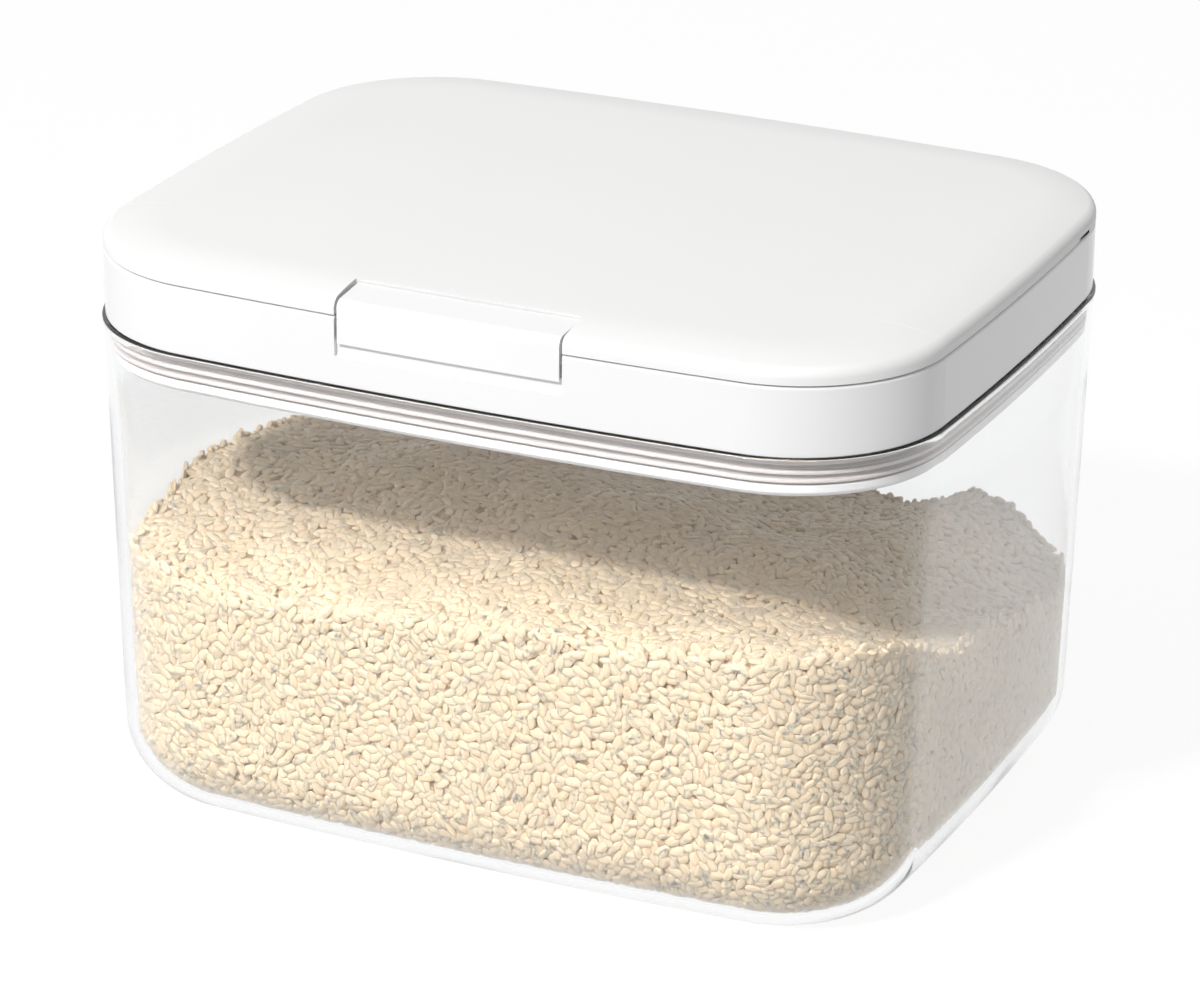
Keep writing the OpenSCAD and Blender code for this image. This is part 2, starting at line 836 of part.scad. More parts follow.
module mouth_gasket() {
    middle = collar_t / 2;
    foot = collar_top + foot_gap;
    color("mistyrose") {
        mouth_band(middle - mouth_seal_w / 2, middle + mouth_seal_w / 2,
            panel_bottom - seal_out, mouth_groove + seal_out);
        mouth_band(middle - mouth_seal_w / 4, middle + mouth_seal_w / 4, foot, panel_bottom - foot);
    }
}

// --- Hinge and latch -------------------------------------------------------------------------------------

module hinge_pin(side) {
    color("silver")
        hinge_stretch(side, hinge_x + pin_set + pin_play, hinge_end - pin_set, pin_r);
}

module hinge_pin_left() {
    hinge_pin(left);
}

module hinge_pin_right() {
    hinge_pin(right);
}

// Everything under the button's outer face, drawn in by an offset
module latch_section(offset, bottom) {
    r = latch_r - offset;
    top_meet = [latch_r - r * sin(latch_slope), latch_c + r * cos(latch_slope)];
    end_z = top_meet[1] + (latch_depth - top_meet[0]) * tan(latch_slope);
    polygon([[offset, bottom], [offset, latch_c], [latch_r, latch_c], top_meet,
        [latch_depth, end_z], [latch_depth, bottom]]);
    translate([latch_r, latch_c])
        circle(r = r, $fn = fine);
}

module latch_shell_section() {
    difference() {
        latch_section(0, latch_bottom);
        difference() {
            latch_section(latch_wall, latch_bottom - over);
            translate([latch_depth - pocket_wall, latch_back_z])
                square([over, panel_top]);
        }
    }
}

module latch_cheeks() {
    intersection() {
        front_swept() latch_section(0, latch_bottom);
        union()
            for (side = [-1, 1])
                translate([side > 0 ? latch_w / 2 - latch_wall : -latch_w / 2, front_y - over, 0])
                    cube([latch_wall, latch_depth + 2 * over, panel_top + over]);
    }
}

// One arm, from the button's front wall back to the pivot
module latch_arm(x0) {
    front = front_y + latch_wall - merge;
    along_x(x0, arm_w) {
        translate([pivot_y, pivot_z])
            circle(r = arm_r, $fn = fine);
        polygon([[front, latch_bottom], [front, web_z + web_t], [pivot_y - arm_r, web_z + web_t],
            [pivot_y, pivot_z + arm_r], [pivot_y, pivot_z - arm_r]]);
    }
}

module latch_hook() {
    top = latch_bottom + bar_t;
    leg_front = hook_y;
    leg_back = hook_y + hook_leg;
    centred_box(2 * arm_x + merge, leg_front - bar_front, leg_back, latch_bottom, top);
    centred_box(hook_w, leg_front, leg_back, latch_bottom, hook_top);
    centred_box(hook_w, leg_front, leg_back + hook_lip, hook_under, hook_top);
}

// Room behind the button's lip for the wall under the notch
module lip_room() {
    front_swept()
        translate([latch_lip, latch_bottom - over])
            square([lip_room_back - latch_lip, lip_top - latch_bottom + over]);
}

module latch_button() {
    inner = front_y + latch_wall - merge;
    color("white")
        difference() {
            union() {
                intersection() {
                    front_swept() latch_shell_section();
                    centred_box(latch_w, front_y - over, 0, 0, panel_top + over);
                }
                latch_cheeks();
                latch_arm(arm_x);
                latch_arm(-arm_x - arm_w);
                centred_box(2 * arm_x + merge, inner, front_y + latch_depth, web_z, web_z + web_t);
                latch_hook();
            }
            lip_room();
            rod(-latch_w, 2 * latch_w, pivot_y, pivot_z, latch_pin_r + pin_clear);
        }
}

module latch_pin() {
    color("silver")
        rod(-latch_pin_l / 2, latch_pin_l, pivot_y, pivot_z, latch_pin_r);
}

// --- Springs ---------------------------------------------------------------------------------------------

// Joins rings of points, one after another, into one closed tube
module tube_through(rings) {
    n = len(rings);
    points = [for (ring = rings) for (p = ring) p];
    sides = [for (i = [0 : n - 2], j = [0 : wire_sides - 1]) let (k = (j + 1) % wire_sides)
        for (t = [0, 1]) t == 0
            ? [i * wire_sides + j, (i + 1) * wire_sides + k, i * wire_sides + k]
            : [i * wire_sides + j, (i + 1) * wire_sides + j, (i + 1) * wire_sides + k]];
    start = [for (j = [1 : wire_sides - 2]) [0, j, j + 1]];
    end = [for (j = [1 : wire_sides - 2])
        [(n - 1) * wire_sides, (n - 1) * wire_sides + j + 1, (n - 1) * wire_sides + j]];
    polyhedron(points = points, faces = concat(sides, start, end));
}

// A ring round a helix that climbs along Z, at one angle of its path
function helix_ring(coil_r, wire_r, climb, angle) =
    let (tilt = atan(climb / (2 * PI * coil_r)))
    [for (j = [0 : wire_sides - 1]) let (a = j * 360 / wire_sides)
        [(coil_r + wire_r * cos(a)) * cos(angle) + wire_r * sin(a) * sin(tilt) * sin(angle),
         (coil_r + wire_r * cos(a)) * sin(angle) - wire_r * sin(a) * sin(tilt) * cos(angle),
         climb * angle / 360 + wire_r * sin(a) * cos(tilt)]];

// A flat ring round a straight end that runs along Z beside the axis
function end_ring(coil_r, wire_r, angle, z) =
    [for (j = [0 : wire_sides - 1]) let (a = j * 360 / wire_sides)
        [coil_r * cos(angle) + wire_r * cos(a) * cos(angle) + wire_r * sin(a) * sin(angle),
         coil_r * sin(angle) + wire_r * cos(a) * sin(angle) - wire_r * sin(a) * cos(angle),
         z]];

// A coil that climbs along Z from a height, with whole turns
module coil(coil_r, wire_r, turns, from, to) {
    climb = (to - from - 2 * wire_r) / turns;
    translate([0, 0, from + wire_r])
        tube_through([for (i = [0 : turns * wire_rings])
            helix_ring(coil_r, wire_r, climb, i * 360 / wire_rings)]);
}

module latch_spring(side) {
    color("silver")
        translate([side * latch_spring_x, spring_y, 0])
            coil(latch_coil_r, latch_wire_r, latch_turns, pocket_floor + spring_end_gap, web_z - spring_end_gap);
}

module latch_spring_left() {
    latch_spring(left);
}

module latch_spring_right() {
    latch_spring(right);
}

// The torsion spring's coil, with both ends turned along the axis into their holes
module torsion_coil() {
    first = tube_x + coil_set;
    last = hinge_end - tube_end_wall - coil_set;
    climb = (last - first) / hinge_turns;
    steps = hinge_turns * wire_rings;
    tube_through(concat(
        [end_ring(hinge_coil_r, hinge_wire_r, 0, knuckle_x + knuckle_l - tang_l + tang_gap),
         end_ring(hinge_coil_r, hinge_wire_r, 0, first - 2 * hinge_wire_r)],
        [for (i = [1 : steps - 1])
            [for (p = helix_ring(hinge_coil_r, hinge_wire_r, climb, i * 360 / wire_rings))
            p + [0, 0, first]]],
        [end_ring(hinge_coil_r, hinge_wire_r, 360, last + 2 * hinge_wire_r),
         end_ring(hinge_coil_r, hinge_wire_r, 360, hinge_end - tube_end_wall + tang_l - tang_gap)]));
}

module hinge_spring(side) {
    color("silver")
        translate([0, hinge_y, hinge_z])
            mirror([side > 0 ? 0 : 1, 0, 0])
                rotate([0, 90, 0])
                    rotate([0, 0, 90])
                        torsion_coil();
}

module hinge_spring_left() {
    hinge_spring(left);
}

module hinge_spring_right() {
    hinge_spring(right);
}

bin_body();
rice_fill();
lid_frame();
plug_ring();
rim_gasket();
flip_panel();
panel_liner();
mouth_gasket();
hinge_pin_left();
hinge_pin_right();
hinge_spring_left();
hinge_spring_right();
latch_button();
latch_pin();
latch_spring_left();
latch_spring_right();
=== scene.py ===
"""Clear rice bin with a lift-off lid frame, a flip-up panel and a push latch."""

import logging
import math
from contextlib import contextmanager
from dataclasses import dataclass, field
from enum import Enum
from typing import Any, Callable, Iterator, Sequence

import bmesh
import bpy
import numpy as np
from mathutils import Matrix, Vector


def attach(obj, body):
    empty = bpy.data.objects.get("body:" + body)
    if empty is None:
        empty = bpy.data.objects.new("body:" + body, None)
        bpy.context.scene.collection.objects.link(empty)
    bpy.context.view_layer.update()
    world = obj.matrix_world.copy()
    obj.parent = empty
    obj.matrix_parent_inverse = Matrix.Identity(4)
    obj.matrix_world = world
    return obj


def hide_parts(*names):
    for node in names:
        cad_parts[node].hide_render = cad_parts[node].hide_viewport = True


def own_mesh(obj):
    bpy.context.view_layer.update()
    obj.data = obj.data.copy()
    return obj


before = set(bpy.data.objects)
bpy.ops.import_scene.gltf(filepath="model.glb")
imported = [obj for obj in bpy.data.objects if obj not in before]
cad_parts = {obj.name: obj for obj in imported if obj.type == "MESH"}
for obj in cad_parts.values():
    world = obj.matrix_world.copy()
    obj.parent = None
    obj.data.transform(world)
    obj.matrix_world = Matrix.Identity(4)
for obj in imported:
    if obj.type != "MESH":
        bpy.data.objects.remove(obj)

Triple = tuple[float, float, float]

LOG = logging.getLogger("rice_bin")
MM = 0.001
WHITE = (1.0, 1.0, 1.0, 1.0)
# Names of the two sides, with their signs along X
SIDES = (("left", -1), ("right", 1))
# What the camera and the lamps are aimed at
AIM = Vector((0.0, 0.0, 80 * MM))
# In copies of CAD nodes, points this close are joined
JOIN_WITHIN = 0.025 * MM
# Edges flatter than the first angle are dissolved and edges sharper than the second rounded, in degrees
FLAT_ANGLE = 0.3
SHARP_ANGLE = 38.0


class Body(Enum):
    """The bodies that pieces ride on."""

    BIN = "bin"
    LID = "lid"
    FLIP = "flip"
    LATCH = "latch"


class Slot(Enum):
    """The record's material slots."""

    TUB = "clear_tub"
    RICE = "rice"
    SHELL = "white_shell"
    INNER = "white_inner"
    PANEL = "panel_white"
    BUTTON = "button_white"
    SEAL = "seal"
    STEEL = "steel"
    SPRING = "spring_steel"


# --- Shader tools ---


def _operator(operation: str, swapped: bool = False) -> Callable[["Value", Any], "Value"]:
    """Makes a method of Value that adds one Math node.

    Args:
        operation: The Math node's operation.
        swapped: Whether the other operand comes first.

    Returns:
        The method.
    """

    def add_node(self: "Value", other: Any) -> "Value":
        """Returns the result, for a number or a Value as the other operand."""
        first, second = (other, self) if swapped else (self, other)
        return self.tree.node("ShaderNodeMath", {"operation": operation}, {0: first, 1: second})

    return add_node


class Value:
    """A socket that takes part in Python expressions by adding Math nodes."""

    def __init__(self, tree: "Tree", socket: Any) -> None:
        """Keeps the tree and the socket."""
        self.tree = tree
        self.socket = socket

    __add__ = __radd__ = _operator("ADD")
    __mul__ = __rmul__ = _operator("MULTIPLY")
    __sub__ = _operator("SUBTRACT")
    __rsub__ = _operator("SUBTRACT", swapped=True)
    most = _operator("MAXIMUM")
    least = _operator("MINIMUM")


class Tree:
    """A node tree that is filled through one method."""

    def __init__(self, tree: Any) -> None:
        """Takes over a tree and empties it."""
        self.tree = tree
        tree.nodes.clear()

    def node(self, kind: str, settings: dict[str, Any], inputs: dict[Any, Any], output: Any = 0) -> Value:
        """Adds a node.

        Args:
            kind: The node's type name.
            settings: Attributes, set first.
            inputs: Values or links by socket name or number.
            output: Name or number of the output that is returned.

        Returns:
            The chosen output.
        """
        made = self.tree.nodes.new(kind)
        for key, setting in settings.items():
            setattr(made, key, setting)
        for key, given in inputs.items():
            if isinstance(given, Value):
                self.tree.links.new(given.socket, made.inputs[key])
            else:
                made.inputs[key].default_value = given
        chosen = made.outputs[output] if len(made.outputs) else None
        return Value(self, chosen)

    def place(self, scale: Sequence[float] = (1, 1, 1)) -> Value:
        """Returns Object coordinates, stretched by a scale."""
        where = self.node("ShaderNodeTexCoord", {}, {}, "Object")
        return self.node("ShaderNodeMapping", {}, {"Vector": where, "Scale": tuple(scale)})

    def noise(self, size: float, detail: float = 2.0, scale: Sequence[float] = (1, 1, 1)) -> Value:
        """Returns a noise whose blotches are about a size across, in metres."""
        inputs = {"Vector": self.place(scale), "Scale": 1 / size, "Detail": detail}
        return self.node("ShaderNodeTexNoise", {}, inputs, "Fac")

    def ramp(self, value: Value, low: float, high: float, kind: str = "LINEAR") -> Value:
        """Returns what rises from 0 where a value is low to 1 where it is high."""
        inputs = {"Value": value, "From Min": low, "From Max": high}
        return self.node("ShaderNodeMapRange", {"interpolation_type": kind}, inputs)

    def blend(self, factor: Any, first: Any, second: Any) -> Value:
        """Returns two colours mixed, with a factor as the share of the second."""
        return self.node("ShaderNodeMix", {"data_type": "RGBA"}, {"Factor": factor, 6: first, 7: second}, 2)

    def bump(self, height: Value, distance: float, **under: Value) -> Value:
        """Returns a normal that follows a height, over another Normal if one is given."""
        inputs = {"Height": height, "Strength": 1.0, "Distance": distance, **under}
        return self.node("ShaderNodeBump", {}, inputs, "Normal")

    def mottled(
        self, colour: Sequence[float], size: float, low: float, high: float, detail: float = 3.0
    ) -> Value:
        """Returns a colour that a noise takes from a low to a high share of itself."""
        dark, light = (rgba([min(1.0, c * share) for c in colour]) for share in (low, high))
        return self.blend(self.noise(size, detail), dark, light)

    def background_rays(self) -> Value:
        """Returns 1 for the rays that show the background: from the camera, and in gloss and glass."""
        ray = self.tree.nodes.new("ShaderNodeLightPath")
        seen = Value(self, ray.outputs["Is Camera Ray"])
        for name in ("Is Glossy Ray", "Is Transmission Ray"):
            seen = seen.most(Value(self, ray.outputs[name]))
        return seen

    def principled(self, inputs: dict[str, Any]) -> Value:
        """Returns a Principled shader."""
        return self.node("ShaderNodeBsdfPrincipled", {}, inputs)


def rgba(colour: Sequence[float]) -> tuple[float, ...]:
    """Returns a colour with full alpha."""
    return (*colour, 1.0)


# --- Finishes ---


@dataclass(frozen=True)
class Finish:
    """A material whose shader each kind of finish fills in."""

    name: str

    def shader(self, tree: Tree) -> Value:
        """Builds the shader, each kind of finish in its own way.

        Args:
            tree: The material's empty tree.

        Returns:
            The shader.
        """
        raise NotImplementedError

    def make(self) -> Any:
        """Returns the material, which all pieces with this finish share."""
        if self.name in bpy.data.materials:
            return bpy.data.materials[self.name]
        material = bpy.data.materials.new(self.name)
        material.use_nodes = True
        tree = Tree(material.node_tree)
        tree.node("ShaderNodeOutputMaterial", {}, {"Surface": self.shader(tree)})
        return material


@dataclass(frozen=True)
class MouldedPlastic(Finish):
    """Opaque moulded plastic: a faint mottle, a fine skin and slow waviness."""

    colour: Triple
    roughness: float
    roughness_swing: float = 0.05
    skin_size: float = 0.9 * MM
    skin_depth: float = 0.004 * MM
    wave_depth: float = 0.03 * MM
    coat: float = 0.0
    mottle: float = 0.02
    mottle_size: float = 45 * MM
    wave_size: float = 22 * MM
    smear_size: float = 12 * MM

    def shader(self, tree: Tree) -> Value:
        """Returns the shader."""
        speck = tree.noise(self.skin_size, 3.0)
        wave = tree.noise(self.wave_size, 1.0)
        smear = tree.noise(self.smear_size, 4.0, (1.0, 0.35, 1.0))
        skin = tree.bump(speck, self.skin_depth)
        return tree.principled({
            "Base Color": tree.mottled(self.colour, self.mottle_size, 1 - self.mottle, 1 + self.mottle),
            "Roughness": self.roughness + self.roughness_swing * (smear - 0.5),
            "Specular IOR Level": 0.5,
            "IOR": 1.5,
            "Coat Weight": self.coat,
            "Coat Roughness": 0.08,
            "Normal": tree.bump(wave, self.wave_depth, Normal=skin),
        })


@dataclass(frozen=True)
class ClearPlastic(Finish):
    """Clear moulded plastic that lets light through to what it holds."""

    tint: Triple
    ior: float
    haze: float
    shadow: float
    wave_depth: float = 0.12 * MM

    def shader(self, tree: Tree) -> Value:
        """Returns the shader."""
        smear = tree.noise(30 * MM, 4.0, (1.0, 1.0, 0.4))
        wave = tree.noise(50 * MM, 1.0)
        rays = tree.node("ShaderNodeLightPath", {}, {}, "Is Shadow Ray")
        clear = tree.principled({
            "Base Color": rgba(self.tint),
            "Roughness": self.haze * smear,
            "IOR": self.ior,
            "Transmission Weight": 1.0,
            "Normal": tree.bump(wave, self.wave_depth),
        })
        through = tree.node("ShaderNodeBsdfTransparent", {}, {"Color": rgba([self.shadow] * 3)})
        return tree.node("ShaderNodeMixShader", {}, {0: rays, 1: clear, 2: through})


@dataclass(frozen=True)
class Silicone(Finish):
    """Soft silicone with a dusty skin, and shade painted darker down in the grooves between its fins."""

    colour: Triple
    roughness: float
    # Where the grooves start and their pitch along Z, and the share of the colour that the painted shade
    # leaves in them
    groove_low: float = 0.0
    groove_pitch: float = 1.0
    groove_shade: float = 1.0

    def shader(self, tree: Tree) -> Value:
        """Returns the shader."""
        dust = tree.noise(1.2 * MM, 2.0)
        height = tree.node("ShaderNodeSeparateXYZ", {}, {"Vector": tree.place()}, "Z")
        turn = (height - self.groove_low) * (1 / self.groove_pitch)
        across = tree.node("ShaderNodeMath", {"operation": "PINGPONG"}, {0: turn, 1: 0.5})
        # Painted shade: the colour darkens down in the grooves between the fins, where shade falls
        painted_groove_shade = 1.0 - tree.ramp(across, 0.16, 0.30, "SMOOTHSTEP")
        skin = tree.mottled(self.colour, 8 * MM, 0.95, 1.05)
        return tree.principled({
            "Base Color": tree.blend(painted_groove_shade, skin, rgba([c * self.groove_shade for c in self.colour])),
            "Roughness": self.roughness + 0.12 * (dust - 0.5),
            "Subsurface Weight": 0.25,
            "Subsurface Radius": (0.9, 0.6, 0.5),
            "Subsurface Scale": 1.0 * MM,
            "Sheen Weight": 0.05,
            "Normal": tree.bump(dust, 0.03 * MM),
        })


@dataclass(frozen=True)
class RiceGrain(Finish):
    """Polished white rice: translucent cream grains with chalky bellies."""

    glassy: Triple
    chalky: Triple
    roughness: float

    def shader(self, tree: Tree) -> Value:
        """Returns the shader."""
        tone = tree.node("ShaderNodeAttribute", {"attribute_name": "tone"}, {}, "Fac")
        belly = tree.node("ShaderNodeAttribute", {"attribute_name": "belly"}, {}, "Fac")
        fleck = tree.noise(1.6 * MM, 3.0)
        white = (0.55 * tone + 0.3 * belly + 0.5 * (fleck - 0.5)).most(0.0).least(1.0)
        return tree.principled({
            "Base Color": tree.blend(white, rgba(self.glassy), rgba(self.chalky)),
            "Roughness": self.roughness + 0.25 * (fleck - 0.5),
            "Specular IOR Level": 0.45,
            "Subsurface Weight": 0.9,
            "Subsurface Radius": (0.8, 0.8, 0.8),
            "Subsurface Scale": 0.8 * MM,
            "Normal": tree.bump(fleck, 0.08 * MM),
        })


@dataclass(frozen=True)
class RiceBedFinish(Finish):
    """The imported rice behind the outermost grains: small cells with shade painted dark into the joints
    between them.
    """

    light: Triple
    # Colour of the painted shade in the joints between grains
    dark: Triple

    def shader(self, tree: Tree) -> Value:
        """Returns the shader."""
        cells = tree.node(
            "ShaderNodeTexVoronoi",
            {"feature": "F1"},
            {"Vector": tree.place((1.0, 1.0, 1.5)), "Scale": 1 / (3.4 * MM)},
            "Distance",
        )
        # Painted shade: each cell darkens towards its edge, standing in for the shade in the gaps between
        # grains
        joint_shade = tree.ramp(cells, 0.15, 0.75)
        return tree.principled({
            "Base Color": tree.blend(joint_shade, rgba(self.light), rgba(self.dark)),
            "Roughness": 0.5 + 0.3 * cells,
            "Normal": tree.bump(1.0 - cells, 1.2 * MM),
        })


@dataclass(frozen=True)
class Steel(Finish):
    """Drawn or ground steel with fine lines along the wire or round the pin."""

    colour: Triple
    roughness: float
    stretch: Triple

    def shader(self, tree: Tree) -> Value:
        """Returns the shader."""
        lines = tree.noise(0.6 * MM, 3.0, self.stretch)
        return tree.principled({
            "Base Color": tree.mottled(self.colour, 4 * MM, 0.85, 1.1, 2.0),
            "Metallic": 1.0,
            "Roughness": self.roughness + 0.2 * (lines - 0.5),
            "Normal": tree.bump(lines, 0.02 * MM),
        })


# --- Modelling tools ---


def linked(name: str, data: Any) -> Any:
    """Links a new object to the scene.

    Args:
        name: Its name.
        data: Its mesh, curve, camera or light.

    Returns:
        The object.
    """
    made = bpy.data.objects.new(name, data)
    bpy.context.scene.collection.objects.link(made)
    return made


def pick(piece: Any) -> None:
    """Deselects everything, then makes one object active and selected.

    Args:
        piece: The object.
    """
    bpy.ops.object.select_all(action="DESELECT")
    piece.select_set(True)
    bpy.context.view_layer.objects.active = piece


@contextmanager
def editing(piece: Any) -> Iterator[None]:
    """Opens a piece in edit mode, with everything selected.

    Args:
        piece: The object to edit.
    """
    pick(piece)
    bpy.ops.object.mode_set(mode="EDIT")
    bpy.ops.mesh.select_all(action="SELECT")
    try:
        yield
    finally:
        bpy.ops.object.mode_set(mode="OBJECT")


def add_modifier(piece: Any, kind: str, **settings: Any) -> None:
    """Adds a modifier and applies it.

    Args:
        piece: The object.
        kind: The modifier's type.
        settings: Its attributes.
    """
    modifier = piece.modifiers.new(kind.title(), kind)
    for key, value in settings.items():
        setattr(modifier, key, value)
    pick(piece)
    bpy.ops.object.modifier_apply(modifier=modifier.name)


def smooth(piece: Any, angle: float = 32.0) -> None:
    """Shades a piece smooth, but for edges sharper than an angle in degrees."""
    pick(piece)
    bpy.ops.object.shade_smooth_by_angle(angle=math.radians(angle))


def dress(piece: Any, body: Body, finish: Finish, replaced: Sequence[str] = ()) -> None:
    """Finishes a piece: gives it its material and its body, and hides the nodes that it replaces.

    Args:
        piece: The object.
        body: The body that it rides on.
        finish: Its finish.
        replaced: Names of the nodes that it replaces.
    """
    piece.data.materials.clear()
    piece.data.materials.append(finish.make())
    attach(piece, body.value)
    if replaced:
        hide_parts(*replaced)
    LOG.info("%s: %d faces on %s", piece.name, len(piece.data.polygons), body.value)


@dataclass(frozen=True)
class Outline:
    """The lid's outline seen from above: four bowed sides that run into round corners."""

    width: float = 240 * MM
    depth: float = 190 * MM
    corner_r: float = 42 * MM
    bow_front: float = 4.8 * MM
    bow_side: float = 3.8 * MM
    corner_steps: int = 22
    front_steps: int = 18
    side_steps: int = 14
    # How far past an arc's ends a point still counts as facing it, in radians
    slack: float = 0.002

    def arcs(self) -> list[tuple[Vector, float, float, float, int]]:
        """Returns the eight arcs, anticlockwise from the front, as centre, radius, start, turn and steps."""
        front_c = ((self.width / 2) ** 2 + self.bow_front**2) / (2 * self.bow_front) - self.depth / 2
        side_c = ((self.depth / 2) ** 2 + self.bow_side**2) / (2 * self.bow_side) - self.width / 2
        front_r = front_c + self.depth / 2
        side_r = side_c + self.width / 2
        gap = math.hypot(side_c, front_c)
        reach = front_r - self.corner_r
        along = (reach**2 - (side_r - self.corner_r) ** 2 + gap**2) / (2 * gap)
        off = math.sqrt(reach**2 - along**2)
        x = (off * front_c - along * side_c) / gap
        y = (along * front_c + off * side_c) / gap - front_c
        front = math.atan(x / (front_c + y))
        side = math.atan(y / (side_c + x))
        quarter = math.pi / 2
        corner = self.corner_r, quarter - front - side, self.corner_steps
        half = [
            ((0, front_c), -quarter - front, (front_r, 2 * front, self.front_steps)),
            ((x, -y), front - quarter, corner),
            ((-side_c, 0), -side, (side_r, 2 * side, self.side_steps)),
            ((x, y), side, corner),
        ]
        return [
            (Vector(centre) * sign, radius, start + more, turn, steps)
            for sign, more in ((1, 0), (-1, math.pi))
            for centre, start, (radius, turn, steps) in half
        ]

    def depth_at(self, point: Vector) -> tuple[float, Vector]:
        """Finds how far inside the outline a point lies.

        Args:
            point: A point in the plane.

        Returns:
            Its inset and the way out of the outline.
        """
        nearest = (self.width, Vector((0, 0)))
        for centre, radius, start, turn, _ in self.arcs():
            out = point - centre
            angle = (math.atan2(out.y, out.x) - start + self.slack) % (2 * math.pi)
            if angle <= turn + 2 * self.slack and radius - out.length < nearest[0]:
                nearest = (radius - out.length, out.normalized())
        return nearest

    def ring(self, inset: float) -> np.ndarray:
        """Samples the outline, drawn inwards.

        Args:
            inset: How far inwards.

        Returns:
            Points in the plane, one a row.
        """
        points = []
        for centre, radius, start, turn, steps in self.arcs():
            for i in range(steps):
                angle = start + turn * i / steps
                r = radius - inset
                points.append((centre.x + r * math.cos(angle), centre.y + r * math.sin(angle)))
        return np.array(points)


Section = list[tuple[float, float]]


def arc(centre: tuple[float, float], radius: float, start: float, end: float, steps: int) -> Section:
    """Returns points of a section along an arc, between two directions in degrees."""
    angles = [math.radians(start + (end - start) * i / steps) for i in range(steps + 1)]
    return [(centre[0] + radius * math.cos(a), centre[1] + radius * math.sin(a)) for a in angles]


def swept(name: str, rings: Sequence[np.ndarray]) -> Any:
    """Extrudes a ring of points from one place to the next, and fills the last ring and the first.

    Args:
        name: The piece's name.
        rings: Rings of points in space, all with as many points.

    Returns:
        The object.
    """
    bpy.ops.mesh.primitive_circle_add(vertices=len(rings[0]), fill_type="NOTHING")
    piece = bpy.context.active_object
    piece.name = piece.data.name = name
    with editing(piece):
        bpy.ops.mesh.select_mode(type="EDGE")
        mesh = bmesh.from_edit_mesh(piece.data)
        around = mesh.verts.layers.int.new("around")
        for i, vertex in enumerate(mesh.verts):
            vertex[around] = i
            vertex.co = rings[0][i]
        for ring in rings[1:]:
            bpy.ops.mesh.extrude_region()
            mesh = bmesh.from_edit_mesh(piece.data)
            around = mesh.verts.layers.int["around"]
            for vertex in mesh.verts:
                if vertex.select:
                    vertex.co = ring[vertex[around]]
        bpy.ops.mesh.edge_face_add()
        bpy.ops.mesh.select_non_manifold(extend=False, use_non_contiguous=False, use_verts=False)
        bpy.ops.mesh.edge_face_add()
        bpy.ops.mesh.select_all(action="SELECT")
        bpy.ops.mesh.normals_make_consistent(inside=False)
    piece.data.attributes.remove(piece.data.attributes["around"])
    return piece


def unit(ways: np.ndarray) -> np.ndarray:
    """Returns vectors scaled to a length of 1."""
    return ways / np.linalg.norm(ways, axis=-1, keepdims=True)


def run_along(line: np.ndarray) -> np.ndarray:
    """Returns how far along a line each of its points lies."""
    return np.concatenate([[0], np.cumsum(np.hypot(*np.diff(line, axis=0).T))])


def between(place: np.ndarray, run: np.ndarray, values: np.ndarray) -> np.ndarray:
    """Returns values, given in rows for points along a run, at places between them."""
    return np.column_stack([np.interp(place, run, column) for column in values.T])


def rings_of(outline: Outline, section: Section) -> list[np.ndarray]:
    """Returns a ring of points in space along an outline, for each point of a section."""
    flats = ((outline.ring(inset), height) for inset, height in section)
    return [np.column_stack([flat, np.full(len(flat), height)]) for flat, height in flats]


def mould(
    node: str, name: str, body: Body, finish: Finish, edge: float, segments: int = 2
) -> Any:
    """Copies a node's shape, joins its loose triangles, rounds its sharp edges and dresses it.

    Args:
        node: The CAD node, which the piece replaces.
        name: The piece's name.
        body: The body that it rides on.
        finish: Its finish.
        edge: Width of the rounding.
        segments: Segments of the rounding.

    Returns:
        The object.
    """
    piece = linked(name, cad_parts[node].data.copy())
    pick(piece)
    if piece.data.has_custom_normals:
        bpy.ops.mesh.customdata_custom_splitnormals_clear()
    with editing(piece):
        bpy.ops.mesh.remove_doubles(threshold=JOIN_WITHIN)
        bpy.ops.mesh.dissolve_degenerate(threshold=JOIN_WITHIN / 5)
        bpy.ops.mesh.dissolve_limited(angle_limit=math.radians(FLAT_ANGLE))
    add_modifier(
        piece,
        "BEVEL",
        width=edge,
        segments=segments,
        limit_method="ANGLE",
        angle_limit=math.radians(SHARP_ANGLE),
        use_clamp_overlap=True,
        miter_outer="MITER_ARC",
    )
    smooth(piece)
    add_modifier(piece, "WEIGHTED_NORMAL", mode="FACE_AREA", weight=70, keep_sharp=True)
    dress(piece, body, finish, [node])
    return piece


# --- Camera, floor and light ---


def direction(azimuth: float, elevation: float) -> Vector:
    """Returns the way from the bin towards a viewer or a lamp, from angles in degrees."""
    a, e = math.radians(azimuth), math.radians(elevation)
    return Vector((math.sin(a) * math.cos(e), -math.cos(a) * math.cos(e), math.sin(e)))


@dataclass(frozen=True)
class Viewpoint:
    """The photograph's view."""

    azimuth: float = 24.74
    elevation: float = 22.10
    roll: float = -0.57
    focal_px: float = 4926.4
    frame_px: float = 1200.0
    distance: float = 1.3528
    shift_right: float = -0.0005
    shift_up: float = -0.00104
    sensor: float = 36.0

    def build(self) -> None:
        """Makes the camera and gives it to the scene."""
        a, r = math.radians(self.azimuth), math.radians(self.roll)
        back = direction(self.azimuth, self.elevation)
        right = Vector((math.cos(a), math.sin(a), 0.0))
        up = back.cross(right)
        data = bpy.data.cameras.new("photo_view")
        data.sensor_width = self.sensor
        data.lens = self.sensor * self.focal_px / self.frame_px
        data.clip_start = 0.05
        data.clip_end = 50.0
        camera = linked("photo_view", data)
        turned_right = right * math.cos(r) - up * math.sin(r)
        turned_up = right * math.sin(r) + up * math.cos(r)
        place = AIM + back * self.distance + right * self.shift_right + up * self.shift_up
        turn = Matrix((turned_right, turned_up, back)).transposed()
        camera.matrix_world = Matrix.Translation(place) @ turn.to_4x4()
        bpy.context.scene.camera = camera


